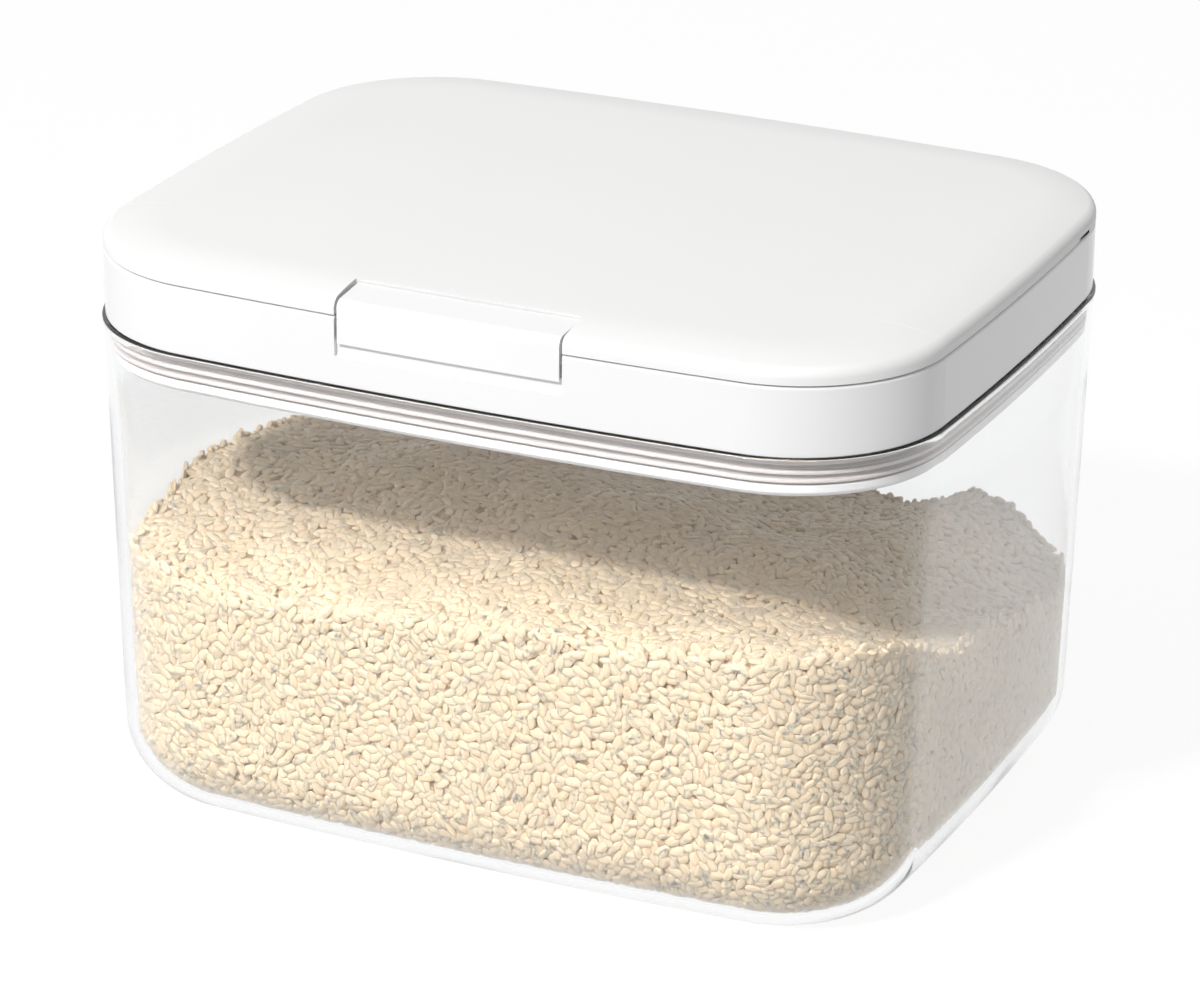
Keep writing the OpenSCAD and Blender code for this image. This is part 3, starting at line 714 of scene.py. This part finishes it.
@dataclass(frozen=True)
class Lamp:
    """A soft lamp aimed at the bin."""

    name: str
    azimuth: float
    elevation: float
    distance: float
    size: float
    power: float

    def build(self) -> None:
        """Makes the lamp."""
        way = direction(self.azimuth, self.elevation)
        data = bpy.data.lights.new(self.name, "AREA")
        data.shape = "DISK"
        data.size = self.size
        data.energy = self.power
        lamp = linked(self.name, data)
        lamp.location = AIM + way * self.distance
        lamp.rotation_mode = "QUATERNION"
        lamp.rotation_quaternion = way.to_track_quat("Z", "Y")


@dataclass(frozen=True)
class FloorFinish(Finish):
    """Matt, and lifted towards white for the rays that show the background."""

    colour: Triple = (0.70, 0.70, 0.70)
    white_share: float = 0.87
    white_strength: float = 1.06

    def shader(self, tree: Tree) -> Value:
        """Returns the shader."""
        matt = tree.principled({
            "Base Color": tree.mottled(self.colour, 400 * MM, 0.99, 1.01),
            "Roughness": 0.9,
            "Specular IOR Level": 0.0,
        })
        white = tree.node("ShaderNodeEmission", {}, {"Color": WHITE, "Strength": self.white_strength})
        seen = tree.background_rays() * self.white_share
        return tree.node("ShaderNodeMixShader", {}, {0: seen, 1: matt, 2: white})


@dataclass
class Studio:
    """A pale floor that runs into a white background, and soft light."""

    floor_r: float = 6.0
    floor_finish: FloorFinish = FloorFinish("studio_floor")
    world_light: float = 0.325
    lamps: tuple[Lamp, ...] = (
        Lamp("key_lamp", -10.0, 43.0, 2.4, 0.18, 43.0),
        Lamp("top_lamp", -20.0, 80.0, 1.8, 1.2, 4.0),
        Lamp("left_lamp", -80.0, 25.0, 2.2, 1.2, 3.5),
    )

    def _build_floor(self) -> None:
        """Makes the floor, a disc with a rim turned down out of sight."""
        bpy.ops.mesh.primitive_circle_add(vertices=96, radius=self.floor_r, fill_type="NGON")
        floor = bpy.context.active_object
        floor.name = floor.data.name = "studio_floor"
        with editing(floor):
            bpy.ops.mesh.extrude_region_move(TRANSFORM_OT_translate={"value": (0, 0, -0.02)})
        floor.data.materials.append(self.floor_finish.make())

    def _build_world(self) -> None:
        """Makes a plain world that lights softly and looks white."""
        world = bpy.data.worlds.new("studio_world")
        world.use_nodes = True
        bpy.context.scene.world = world
        tree = Tree(world.node_tree)
        strength = self.world_light + (1.0 - self.world_light) * tree.background_rays()
        light = tree.node("ShaderNodeBackground", {}, {"Color": WHITE, "Strength": strength})
        tree.node("ShaderNodeOutputWorld", {}, {"Surface": light})

    def build(self) -> None:
        """Makes the floor, the world and the lamps."""
        self._build_floor()
        self._build_world()
        for lamp in self.lamps:
            lamp.build()
        bpy.context.scene.view_settings.view_transform = "Standard"


# --- The tub ---


@dataclass(frozen=True)
class BinSizes:
    """Sizes of the clear bin."""

    height: float = 139 * MM
    wall: float = 2.8 * MM
    proud: float = 0.4 * MM
    draft: float = 1.4
    bottom_r: float = 23 * MM
    bead_out: float = 0.45 * MM
    bead_h: float = 2.2 * MM
    rim_r: float = 0.5 * MM

    @property
    def slope(self) -> float:
        """How far the wall leans in for each unit of depth."""
        return math.tan(math.radians(self.draft))

    @property
    def bottom_inset(self) -> float:
        """Inset of the bottom arc's centre."""
        lean = math.radians(self.draft)
        tangent = self.bottom_r * (1 - math.sin(lean))
        return -self.proud + self.bottom_r * math.cos(lean) + (self.height - tangent) * self.slope

    def wall_inset(self, height: float, behind: float) -> float:
        """Returns the inset of the wall at a height, a distance behind its outer face."""
        return -self.proud + behind / math.cos(math.radians(self.draft)) + (self.height - height) * self.slope

    def face(self, behind: float, steps: int) -> Section:
        """Returns the round bottom edge from wall to floor, a distance behind its outer face."""
        return arc((self.bottom_inset, self.bottom_r), self.bottom_r - behind, 180 + self.draft, 270, steps)


@dataclass
class Tub:
    """The clear bin."""

    outline: Outline = field(default_factory=Outline)
    sizes: BinSizes = field(default_factory=BinSizes)
    finish: ClearPlastic = ClearPlastic("clear_plastic", (0.958, 0.965, 0.966), 1.49, 0.02, 0.95)
    arc_steps: int = 20
    rim_steps: int = 4
    wall_steps: int = 5
    bead_foot: float = 0.25 * MM
    # Direction in which the bead's lower arc ends, in degrees
    bead_end: float = 262

    def _wall(self, start: float, end: float, behind: float) -> Section:
        """Samples the straight wall between two heights, but for the first of them."""
        heights = (start + (end - start) * i / self.wall_steps for i in range(1, self.wall_steps + 1))
        return [(self.sizes.wall_inset(height, behind), height) for height in heights]

    def section(self) -> Section:
        """Returns the wall's section, from the middle of the floor inside to the middle underneath."""
        s = self.sizes
        inner = list(reversed(s.face(s.wall, self.arc_steps)))
        top = s.height - s.rim_r
        inner += self._wall(inner[-1][1], top, s.wall)
        inner_top = s.wall_inset(s.height, s.wall)
        rim = arc((inner_top - s.rim_r, top), s.rim_r, 0, 90, self.rim_steps)[1:]
        bead = arc((-s.proud, s.height - s.bead_out), s.bead_out, 90, 180, self.rim_steps)
        bead_low = -s.proud, s.height - s.bead_h + s.bead_out
        bead += arc(bead_low, s.bead_out, 180, self.bead_end, self.rim_steps)
        under = s.height - s.bead_h - self.bead_foot
        outer_arc = s.face(0, self.arc_steps)
        outer = self._wall(under, outer_arc[0][1], 0)[:-1]
        return inner + rim + bead + [(s.wall_inset(under, 0), under)] + outer + outer_arc

    def build(self) -> None:
        """Makes the tub."""
        piece = swept("tub", rings_of(self.outline, self.section()))
        smooth(piece, 40)
        dress(piece, Body.BIN, self.finish, ["bin_body"])


# --- The rice ---


@dataclass
class Rice:
    """A heap of loose grains: a packed bed under coats of separate grains."""

    outline: Outline = field(default_factory=Outline)
    sizes: BinSizes = field(default_factory=BinSizes)
    grain_finish: RiceGrain = RiceGrain("rice_grain", (0.655, 0.515, 0.355), (0.735, 0.62, 0.465), 0.34)
    # The bed's second colour is the painted shade in the joints between grains
    bed_finish: RiceBedFinish = RiceBedFinish("rice_bed", (0.60, 0.46, 0.30), (0.36, 0.25, 0.14))
    width: float = 2.85 * MM
    thick: float = 1.7 * MM
    length: float = 4.9 * MM
    # Spreads of the three sizes above, as shares
    spreads: Triple = (0.06, 0.07, 0.08)
    broken_share: float = 0.09
    broken_length: float = 0.62
    tone_spread: float = 0.22
    # Spreads of how far grains tip out of the sides and out of the top, and of how far they roll, in radians
    side_tip: float = 0.08
    top_tip: float = 0.3
    roll: float = 0.3
    loose: float = 0.25 * MM
    seed: int = 11
    gap: float = 0.25 * MM
    bed_depth: float = 1.5 * MM
    grain_sides: int = 6
    # Power by which a grain thins towards its ends
    plump: float = 2.6
    grain_rings: tuple[float, ...] = (-0.8, -0.32, 0.32, 0.8)
    wall_pitch: tuple[float, float] = (2.9 * MM, 2.35 * MM)
    wall_top: float = 95 * MM
    top_pitch: float = 2.7 * MM
    top_edge: float = 1.6 * MM
    top_high: float = 75 * MM
    # Share of a grain's thickness by which the sides' grains stay under the top
    top_lap: float = 0.3
    # Reach of the wall's slope measure and of the top's
    near: float = 0.4 * MM
    slope_step: float = 1 * MM
    # Height at which the bed's outline is taken, and its rings: steps inwards, then shares of the last
    bed_high: float = 60 * MM
    bed_round: float = 3 * MM
    bed_steps: tuple[float, ...] = (1.5, 5, 10, 16, 22, 28, 34)
    bed_shares: tuple[float, ...] = (0.85, 0.7, 0.55, 0.4, 0.25, 0.12, 0.03)
    coat_depths: tuple[float, ...] = (0.0, 0.7 * MM)
    grains_in_piece: int = 3600
    # Share of the heap's own direction in each grain's shading, for light that spreads from grain to grain
    calm: float = 0.38
    # How far the given levels blend into one another, the height of the ripple over them, and the power
    # by which a level counts less with distance
    blur: float = 13 * MM
    ripple: float = 0.7 * MM
    falloff: float = 1.6
    # The ripple's radians to the metre along X, in its bend along Y, and along Y
    waves: Triple = (160, 90, 140)
    # Heights of the heap's top at places on it, all in millimetres
    levels: tuple[Triple, ...] = (
        (-92, -88, 77), (-76, -89, 72), (-58, -90, 71.5), (-10, -91, 76), (35, -90, 79), (87, -88, 82.5),
        (109, -87, 85), (-115, -60, 73), (-115, -48, 76), (-115, -25, 79), (-115, 0, 80.5), (-115, 16, 79.5),
        (115, -15, 68), (115, 22, 59), (115, 54, 51), (72, 88, 66), (84, 87.5, 62), (104, 86, 53),
        (-110, 85, 79), (-40, 88, 80), (20, 88, 75), (0, 0, 83), (-50, 20, 84), (50, -10, 79), (60, 40, 70),
        (-60, -45, 79), (10, -50, 80),
    )

    def level(self, x: np.ndarray, y: np.ndarray) -> np.ndarray:
        """Gives the height of the heap's top.

        Args:
            x: Places along X, in metres.
            y: Places along Y.

        Returns:
            Heights in metres.
        """
        known = np.array(self.levels) * MM
        apart = (x[..., None] - known[:, 0]) ** 2 + (y[..., None] - known[:, 1]) ** 2
        weight = (apart + self.blur**2) ** -self.falloff
        height = (weight * known[:, 2]).sum(-1) / weight.sum(-1)
        along, bend, across = self.waves
        return height + self.ripple * np.sin(along * x + 2 * np.sin(bend * y)) * np.cos(across * y)

    def _bed(self) -> None:
        """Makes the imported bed, a little smaller than the space that the rice fills."""
        s = self.sizes
        behind = s.wall + self.gap + self.bed_depth
        rings = rings_of(self.outline, list(reversed(s.face(behind, 10))))
        inset = s.wall_inset(self.bed_high, behind)
        flats = [self.outline.ring(inset)]
        flats += [self.outline.ring(inset + step * MM) for step in self.bed_steps]
        flats += [flats[-1] * share for share in self.bed_shares]
        drops = [self.bed_depth + self.bed_round] + [self.bed_depth] * (len(flats) - 1)
        for flat, drop in zip(flats, drops):
            rings.append(np.column_stack([flat, self.level(flat[:, 0], flat[:, 1]) - drop]))
        piece = swept("rice_bed", rings)
        smooth(piece, 60)
        dress(piece, Body.BIN, self.bed_finish, ["rice_fill"])

    def _grain(self) -> tuple[np.ndarray, np.ndarray, np.ndarray]:
        """Models one grain from a sphere and reads it back.

        Returns:
            Its points for half-lengths of 1, its triangles, and each point's place along it.
        """
        bpy.ops.mesh.primitive_uv_sphere_add(
            segments=self.grain_sides, ring_count=len(self.grain_rings) + 1, radius=1.0
        )
        grain = bpy.context.active_object
        with editing(grain):
            bpy.ops.mesh.quads_convert_to_tris()
        heights = sorted({round(v.co.z, 4) for v in grain.data.vertices})
        inner = dict(zip(heights[1:-1], self.grain_rings))
        for vertex in grain.data.vertices:
            along = inner.get(round(vertex.co.z, 4), math.copysign(1.0, vertex.co.z))
            fat = (1 - abs(along) ** self.plump) ** 0.5
            vertex.co = (*(vertex.co.xy.normalized() * fat), along)
        points = np.array([v.co[:] for v in grain.data.vertices])
        faces = np.array([p.vertices[:] for p in grain.data.polygons])
        bpy.data.objects.remove(grain)
        return points, faces, 1 - np.abs(points[:, 2])

    def _wall_places(self, rng: np.random.Generator, depth: float) -> tuple[np.ndarray, np.ndarray]:
        """Scatters grains over the inside of the wall and its round bottom edge.

        Args:
            rng: Source of the random draws.
            depth: How far behind the outermost coat.

        Returns:
            Places on the surface and its inward normals.
        """
        s = self.sizes
        behind = s.wall + self.gap
        section = list(reversed(s.face(behind, 24)))[6:]
        section.append((s.wall_inset(self.wall_top, behind), self.wall_top))
        line = np.array(section)
        run = run_along(line)
        ring = self.outline.ring(0)
        closed = np.vstack([ring, ring[:1]])
        lap = run_along(closed)
        tangent = np.roll(ring, -1, axis=0) - np.roll(ring, 1, axis=0)
        outward = unit(np.column_stack([tangent[:, 1], -tangent[:, 0]]))
        outward = np.vstack([outward, outward[:1]])
        across, up = self.wall_pitch
        columns, rows = int(lap[-1] / across), int(run[-1] / up)
        i, j = np.meshgrid(np.arange(columns), np.arange(rows), indexing="ij")
        t = ((i + 0.5 * (j % 2) + rng.uniform(-0.45, 0.45, i.shape)) / columns % 1.0).ravel() * lap[-1]
        v = np.clip((j + rng.uniform(0.05, 0.95, j.shape)).ravel() / rows, 0, 1) * run[-1]
        base = between(t, lap, closed)
        out = unit(between(t, lap, outward))
        inset, height = between(v, run, line).T
        lean_in, rise = unit(between(v + self.near, run, line) - between(v - self.near, run, line)).T
        flat = base - out * inset[:, None]
        normal = np.column_stack([-out * rise[:, None], -lean_in])
        place = np.column_stack([flat, height]) + normal * depth
        top = self.level(place[:, 0], place[:, 1]) - self.top_lap * self.thick
        kept = place[:, 2] < top + rng.uniform(-1, 1, len(v)) * MM
        return place[kept], normal[kept]

    def _top_places(self, rng: np.random.Generator, depth: float) -> tuple[np.ndarray, np.ndarray]:
        """Scatters grains over the heap's top.

        Args:
            rng: Source of the random draws.
            depth: How far below the outermost coat.

        Returns:
            Places on the surface and its downward normals.
        """
        half_x, half_y = self.outline.width / 2, self.outline.depth / 2
        columns, rows = int(2 * half_x / self.top_pitch), int(2 * half_y / self.top_pitch)
        i, j = np.meshgrid(np.arange(columns), np.arange(rows), indexing="ij")
        x = ((i + rng.uniform(0, 1, i.shape)) / columns * 2 - 1).ravel() * half_x
        y = ((j + rng.uniform(0, 1, j.shape)) / rows * 2 - 1).ravel() * half_y
        wall = self.sizes.wall_inset(self.top_high, self.sizes.wall + self.gap)
        edge = self.outline.ring(wall + self.top_edge)
        along = np.roll(edge, -1, axis=0) - edge
        side = along[:, 0] * (y[:, None] - edge[:, 1]) - along[:, 1] * (x[:, None] - edge[:, 0])
        inside = (side > 0).all(axis=1)
        x, y = x[inside], y[inside]
        step = self.slope_step
        fall_x = (self.level(x + step, y) - self.level(x - step, y)) / (2 * step)
        fall_y = (self.level(x, y + step) - self.level(x, y - step)) / (2 * step)
        normal = unit(np.column_stack([fall_x, fall_y, -np.ones(len(x))]))
        return np.column_stack([x, y, self.level(x, y)]) + normal * depth, normal

    def _scatter(
        self, name: str, places: np.ndarray, normals: np.ndarray, rng: np.random.Generator, tip_spread: float
    ) -> None:
        """Lays a grain at each place and joins them into pieces.

        Args:
            name: First part of the pieces' names.
            places: Points that the grains touch.
            normals: Directions away from the surface that they lie against.
            rng: Source of the random draws.
            tip_spread: Spread of how far the grains tip out of the surface.
        """
        points, faces, belly = self._grain()
        count = len(places)
        helper = np.where(np.abs(normals[:, 2:]) < 0.9, [[0.0, 0.0, 1.0]], [[1.0, 0.0, 0.0]])
        first = unit(np.cross(normals, helper))
        second = np.cross(normals, first)
        turn = rng.uniform(0, 2 * math.pi, count)[:, None]
        tip = rng.normal(0, tip_spread, count)[:, None]
        long = (first * np.cos(turn) + second * np.sin(turn)) * np.cos(tip) + normals * np.sin(tip)
        wide = unit(np.cross(normals, long))
        low = np.cross(long, wide)
        roll = rng.normal(0, self.roll, count)[:, None]
        wide, low = wide * np.cos(roll) + low * np.sin(roll), low * np.cos(roll) - wide * np.sin(roll)
        broken = rng.uniform(0, 1, count) < self.broken_share
        sizes = zip((self.width, self.thick, self.length), self.spreads)
        half = np.column_stack([size / 2 * rng.normal(1, spread, count) for size, spread in sizes])
        half[:, 2] *= np.where(broken, self.broken_length, 1.0)
        axes = np.stack([wide, low, long], axis=1) * half[:, :, None]
        reach = np.sqrt((np.einsum("nij,nj->ni", axes, normals) ** 2).sum(axis=1))
        centre = places + normals * (reach + rng.uniform(0, self.loose, count))[:, None]
        cloud = centre[:, None, :] + np.einsum("pi,nij->npj", points, axes)
        ends = self.plump / 2 * np.abs(points[:, 2]) ** (self.plump - 1) * np.sign(points[:, 2])
        slope = np.column_stack([points[:, :2], ends])
        facing = unit(np.einsum("pi,nij->npj", slope, axes / half[:, :, None] ** 2))
        facing = (1 - self.calm) * facing - self.calm * normals[:, None, :]
        tone = np.clip(rng.normal(0.5, self.tone_spread, count), 0, 1)
        order = np.argsort(np.arctan2(places[:, 1], places[:, 0]), kind="stable")
        parts = math.ceil(count / self.grains_in_piece)
        for number, chosen in enumerate(np.array_split(order, parts)):
            mesh = bpy.data.meshes.new(f"{name}_{number}")
            shift = (np.arange(len(chosen)) * len(points))[:, None, None]
            mesh.from_pydata(cloud[chosen].reshape(-1, 3), [], (faces[None] + shift).reshape(-1, 3))
            for key, values in (
                ("tone", np.repeat(tone[chosen], len(points))),
                ("belly", np.tile(belly, len(chosen))),
            ):
                layer = mesh.attributes.new(key, "FLOAT", "POINT")
                layer.data.foreach_set("value", values.astype(np.float32))
            mesh.shade_smooth()
            mesh.normals_split_custom_set_from_vertices(facing[chosen].reshape(-1, 3))
            piece = linked(f"{name}_{number}", mesh)
            dress(piece, Body.BIN, self.grain_finish)

    def build(self) -> None:
        """Makes the bed and its coats of grains."""
        self._bed()
        rng = np.random.default_rng(self.seed)
        for number, depth in enumerate(self.coat_depths):
            for part, places, tip in (
                ("side", self._wall_places, self.side_tip),
                ("top", self._top_places, self.top_tip),
            ):
                self._scatter(f"rice_{part}_{number}", *places(rng, depth), rng, tip)


# --- The lid ---


@dataclass
class LidFrame:
    """The lift-off frame with its plug ring and seal."""

    edge: float = 0.22 * MM
    seal_edge: float = 0.3 * MM
    shell: MouldedPlastic = MouldedPlastic("frame_plastic", (0.84, 0.84, 0.845), 0.16, coat=0.25)
    inner: MouldedPlastic = MouldedPlastic(
        "plug_plastic", (0.78, 0.775, 0.77), 0.24, 0.06, skin_depth=0.006 * MM
    )
    seal: Silicone = Silicone(
        "seal_silicone", (0.63, 0.58, 0.57), 0.42, groove_low=131.5 * MM, groove_pitch=2.3 * MM,
        groove_shade=0.6,
    )

    def build(self) -> None:
        """Makes the frame, the plug ring and the seal."""
        mould("lid_frame", "frame_shell", Body.LID, self.shell, self.edge)
        mould("plug_ring", "plug", Body.LID, self.inner, self.seal_edge)
        mould("rim_gasket", "rim_seal", Body.LID, self.seal, self.seal_edge, 3)


@dataclass(frozen=True)
class Crown:
    """The panel's face: flat in the middle, crowned towards a small round edge."""

    outline: Outline = field(default_factory=Outline)
    top: float = 164.6 * MM
    edge_r: float = 3 * MM
    crown_r: float = 61 * MM
    crown_w: float = 16 * MM
    within: float = 0.05 * MM
    # Least dot product of a polygon's normal and the face's that lets it count as part of the face
    alike: float = 0.93

    def at(self, place: Vector) -> tuple[float, Vector]:
        """Finds the face above or below a place.

        Args:
            place: The place.

        Returns:
            The face's height there and its normal.
        """
        inset, out = self.outline.depth_at(Vector(place.xy))
        if inset >= self.crown_w:
            return self.top, Vector((0, 0, 1))
        lean = (self.crown_w - self.edge_r) / (self.crown_r - self.edge_r)
        radius, reach, centre = self.crown_r, self.crown_w, self.top - self.crown_r
        if inset < self.crown_w - self.crown_r * lean:
            centre += (self.crown_r - self.edge_r) * math.sqrt(1 - lean**2)
            radius, reach = self.edge_r, self.edge_r
        tilt = min(1.0, max(0.0, (reach - inset) / radius))
        rise = math.sqrt(1 - tilt**2)
        return centre + radius * rise, Vector((out.x * tilt, out.y * tilt, rise))

    def shade(self, piece: Any) -> None:
        """Sets the normals of the corners that lie on the face, and keeps the others.

        Args:
            piece: The panel.
        """
        mesh = piece.data
        kept = [Vector(corner.vector) for corner in mesh.corner_normals]
        for face in mesh.polygons:
            for loop, vertex in zip(face.loop_indices, face.vertices):
                place = mesh.vertices[vertex].co
                height, normal = self.at(place)
                if abs(place.z - height) < self.within and face.normal.dot(normal) > self.alike:
                    kept[loop] = normal
        mesh.normals_split_custom_set(kept)


@dataclass
class FlipPanel:
    """The panel that flips up, with its liner and seal."""

    edge: float = 0.25 * MM
    liner_edge: float = 0.2 * MM
    seal_edge: float = 0.3 * MM
    crown: Crown = field(default_factory=Crown)
    skin: MouldedPlastic = MouldedPlastic(
        "panel_plastic", (0.85, 0.845, 0.84), 0.48, 0.06, 0.45 * MM, 0.012 * MM, 0.02 * MM, mottle=0.012
    )
    inner: MouldedPlastic = MouldedPlastic(
        "liner_plastic", (0.84, 0.84, 0.84), 0.26, 0.06, skin_depth=0.006 * MM
    )
    seal: Silicone = Silicone("mouth_silicone", (0.78, 0.71, 0.69), 0.42)

    def build(self) -> None:
        """Makes the panel, its liner and its seal."""
        self.crown.shade(mould("flip_panel", "panel", Body.FLIP, self.skin, self.edge))
        mould("panel_liner", "liner", Body.FLIP, self.inner, self.liner_edge)
        mould("mouth_gasket", "mouth_seal", Body.FLIP, self.seal, self.seal_edge, 3)


@dataclass
class Latch:
    """The push button, its pin and its springs."""

    edge: float = 0.25 * MM
    pin_edge: float = 0.2 * MM
    spring_x: float = 14 * MM
    spring_y: float = -88 * MM
    spring_low: float = 145.9 * MM
    spring_high: float = 155.0 * MM
    coil_r: float = 2.4 * MM
    wire_r: float = 0.3 * MM
    turns: float = 5
    pressed_share: float = 0.755
    shell: MouldedPlastic = MouldedPlastic("button_plastic", (0.85, 0.85, 0.855), 0.20, coat=0.2)
    steel: Steel = Steel("latch_steel", (0.72, 0.72, 0.72), 0.28, (1.0, 14.0, 14.0))
    wire: Steel = Steel("latch_wire", (0.62, 0.62, 0.63), 0.32, (6.0, 6.0, 6.0))

    def build(self) -> None:
        """Makes the button, the pin and the springs."""
        mould("latch_button", "button", Body.LATCH, self.shell, self.edge)
        mould("latch_pin", "button_pin", Body.LID, self.steel, self.pin_edge)
        for side, way in SIDES:
            ends = self.spring_low + self.wire_r, self.spring_high - self.wire_r
            path = helix(self.coil_r, *ends, self.turns)
            path = path + np.array([way * self.spring_x, self.spring_y, 0])
            spring = wire_piece(f"button_spring_{side}", path, self.wire_r)
            dress(spring, Body.LID, self.wire, [f"latch_spring_{side}"])
            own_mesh(spring)


def helix(radius: float, low: float, high: float, turns: float, steps: int = 20) -> np.ndarray:
    """Samples a helix along Z.

    Args:
        radius: Its radius.
        low: Height of its start.
        high: Height of its end.
        turns: Its turns.
        steps: Points for each turn.

    Returns:
        The points.
    """
    share = np.linspace(0, 1, int(turns * steps) + 1)
    angle = share * turns * 2 * math.pi
    return np.column_stack([radius * np.cos(angle), radius * np.sin(angle), low + (high - low) * share])


def wire_piece(name: str, path: np.ndarray, radius: float) -> Any:
    """Makes a round wire along a path.

    Args:
        name: The piece's name.
        path: Points along its middle.
        radius: Its radius.

    Returns:
        The object, a mesh.
    """
    curve = bpy.data.curves.new(name, "CURVE")
    curve.dimensions = "3D"
    curve.bevel_depth = radius
    curve.bevel_resolution = 2
    curve.use_fill_caps = True
    spline = curve.splines.new("POLY")
    spline.points.add(len(path) - 1)
    spline.points.foreach_set("co", np.column_stack([path, np.ones(len(path))]).ravel())
    pick(linked(name, curve))
    bpy.ops.object.convert(target="MESH")
    piece = bpy.context.active_object
    smooth(piece, 50)
    return piece


@dataclass
class Hinges:
    """The hinge pins and the springs that lift the panel, whose inner legs turn with it."""

    axis_y: float = 95.8 * MM
    axis_z: float = 155.5 * MM
    coil_r: float = 2.2 * MM
    wire_r: float = 0.4 * MM
    turns: float = 6
    pin_edge: float = 0.25 * MM
    leg_gap: float = 0.02 * MM
    coil_from: float = 55.1 * MM
    coil_to: float = 63.7 * MM
    tail_from: float = 52.0 * MM
    tail_to: float = 66.5 * MM
    steel: Steel = Steel("hinge_steel", (0.72, 0.72, 0.72), 0.26, (1.0, 14.0, 14.0))
    wire: Steel = Steel("hinge_wire", (0.62, 0.62, 0.63), 0.32, (6.0, 6.0, 6.0))

    def build(self) -> None:
        """Makes the pins and the springs."""
        for side, way in SIDES:
            mould(f"hinge_pin_{side}", f"pin_{side}", Body.LID, self.steel, self.pin_edge)
            closed_turn = helix(self.coil_r, self.coil_from, self.coil_from, 1)[:-1]
            coil = helix(self.coil_r, self.coil_from, self.coil_to, self.turns)
            tail = [[self.coil_r, 0, self.tail_to]]
            spring = self._wire(f"lift_spring_{side}", np.vstack([closed_turn, coil, tail]), way)
            dress(spring, Body.LID, self.wire, [f"hinge_spring_{side}"])
            ends = self.tail_from, self.coil_from - self.wire_r - self.leg_gap
            leg = self._wire(f"lift_leg_{side}", np.array([[self.coil_r, 0, along] for along in ends]), way)
            dress(leg, Body.FLIP, self.wire)

    def _wire(self, name: str, path: np.ndarray, way: int) -> Any:
        """Makes a wire along points given behind the hinge line, above it, and along it to one side."""
        world = np.column_stack([way * path[:, 2], self.axis_y + path[:, 0], self.axis_z + path[:, 1]])
        return wire_piece(name, world, self.wire_r)


# --- Assembly ---


def main() -> None:
    """Builds the view, the studio and each sub-assembly in order."""
    logging.basicConfig(level=logging.INFO, format="%(message)s")
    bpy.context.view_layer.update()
    for part in (Viewpoint(), Studio(), Tub(), Rice(), LidFrame(), FlipPanel(), Latch(), Hinges()):
        part.build()
        LOG.info("%s is in place", type(part).__name__)


if __name__ == "__main__":
    main()
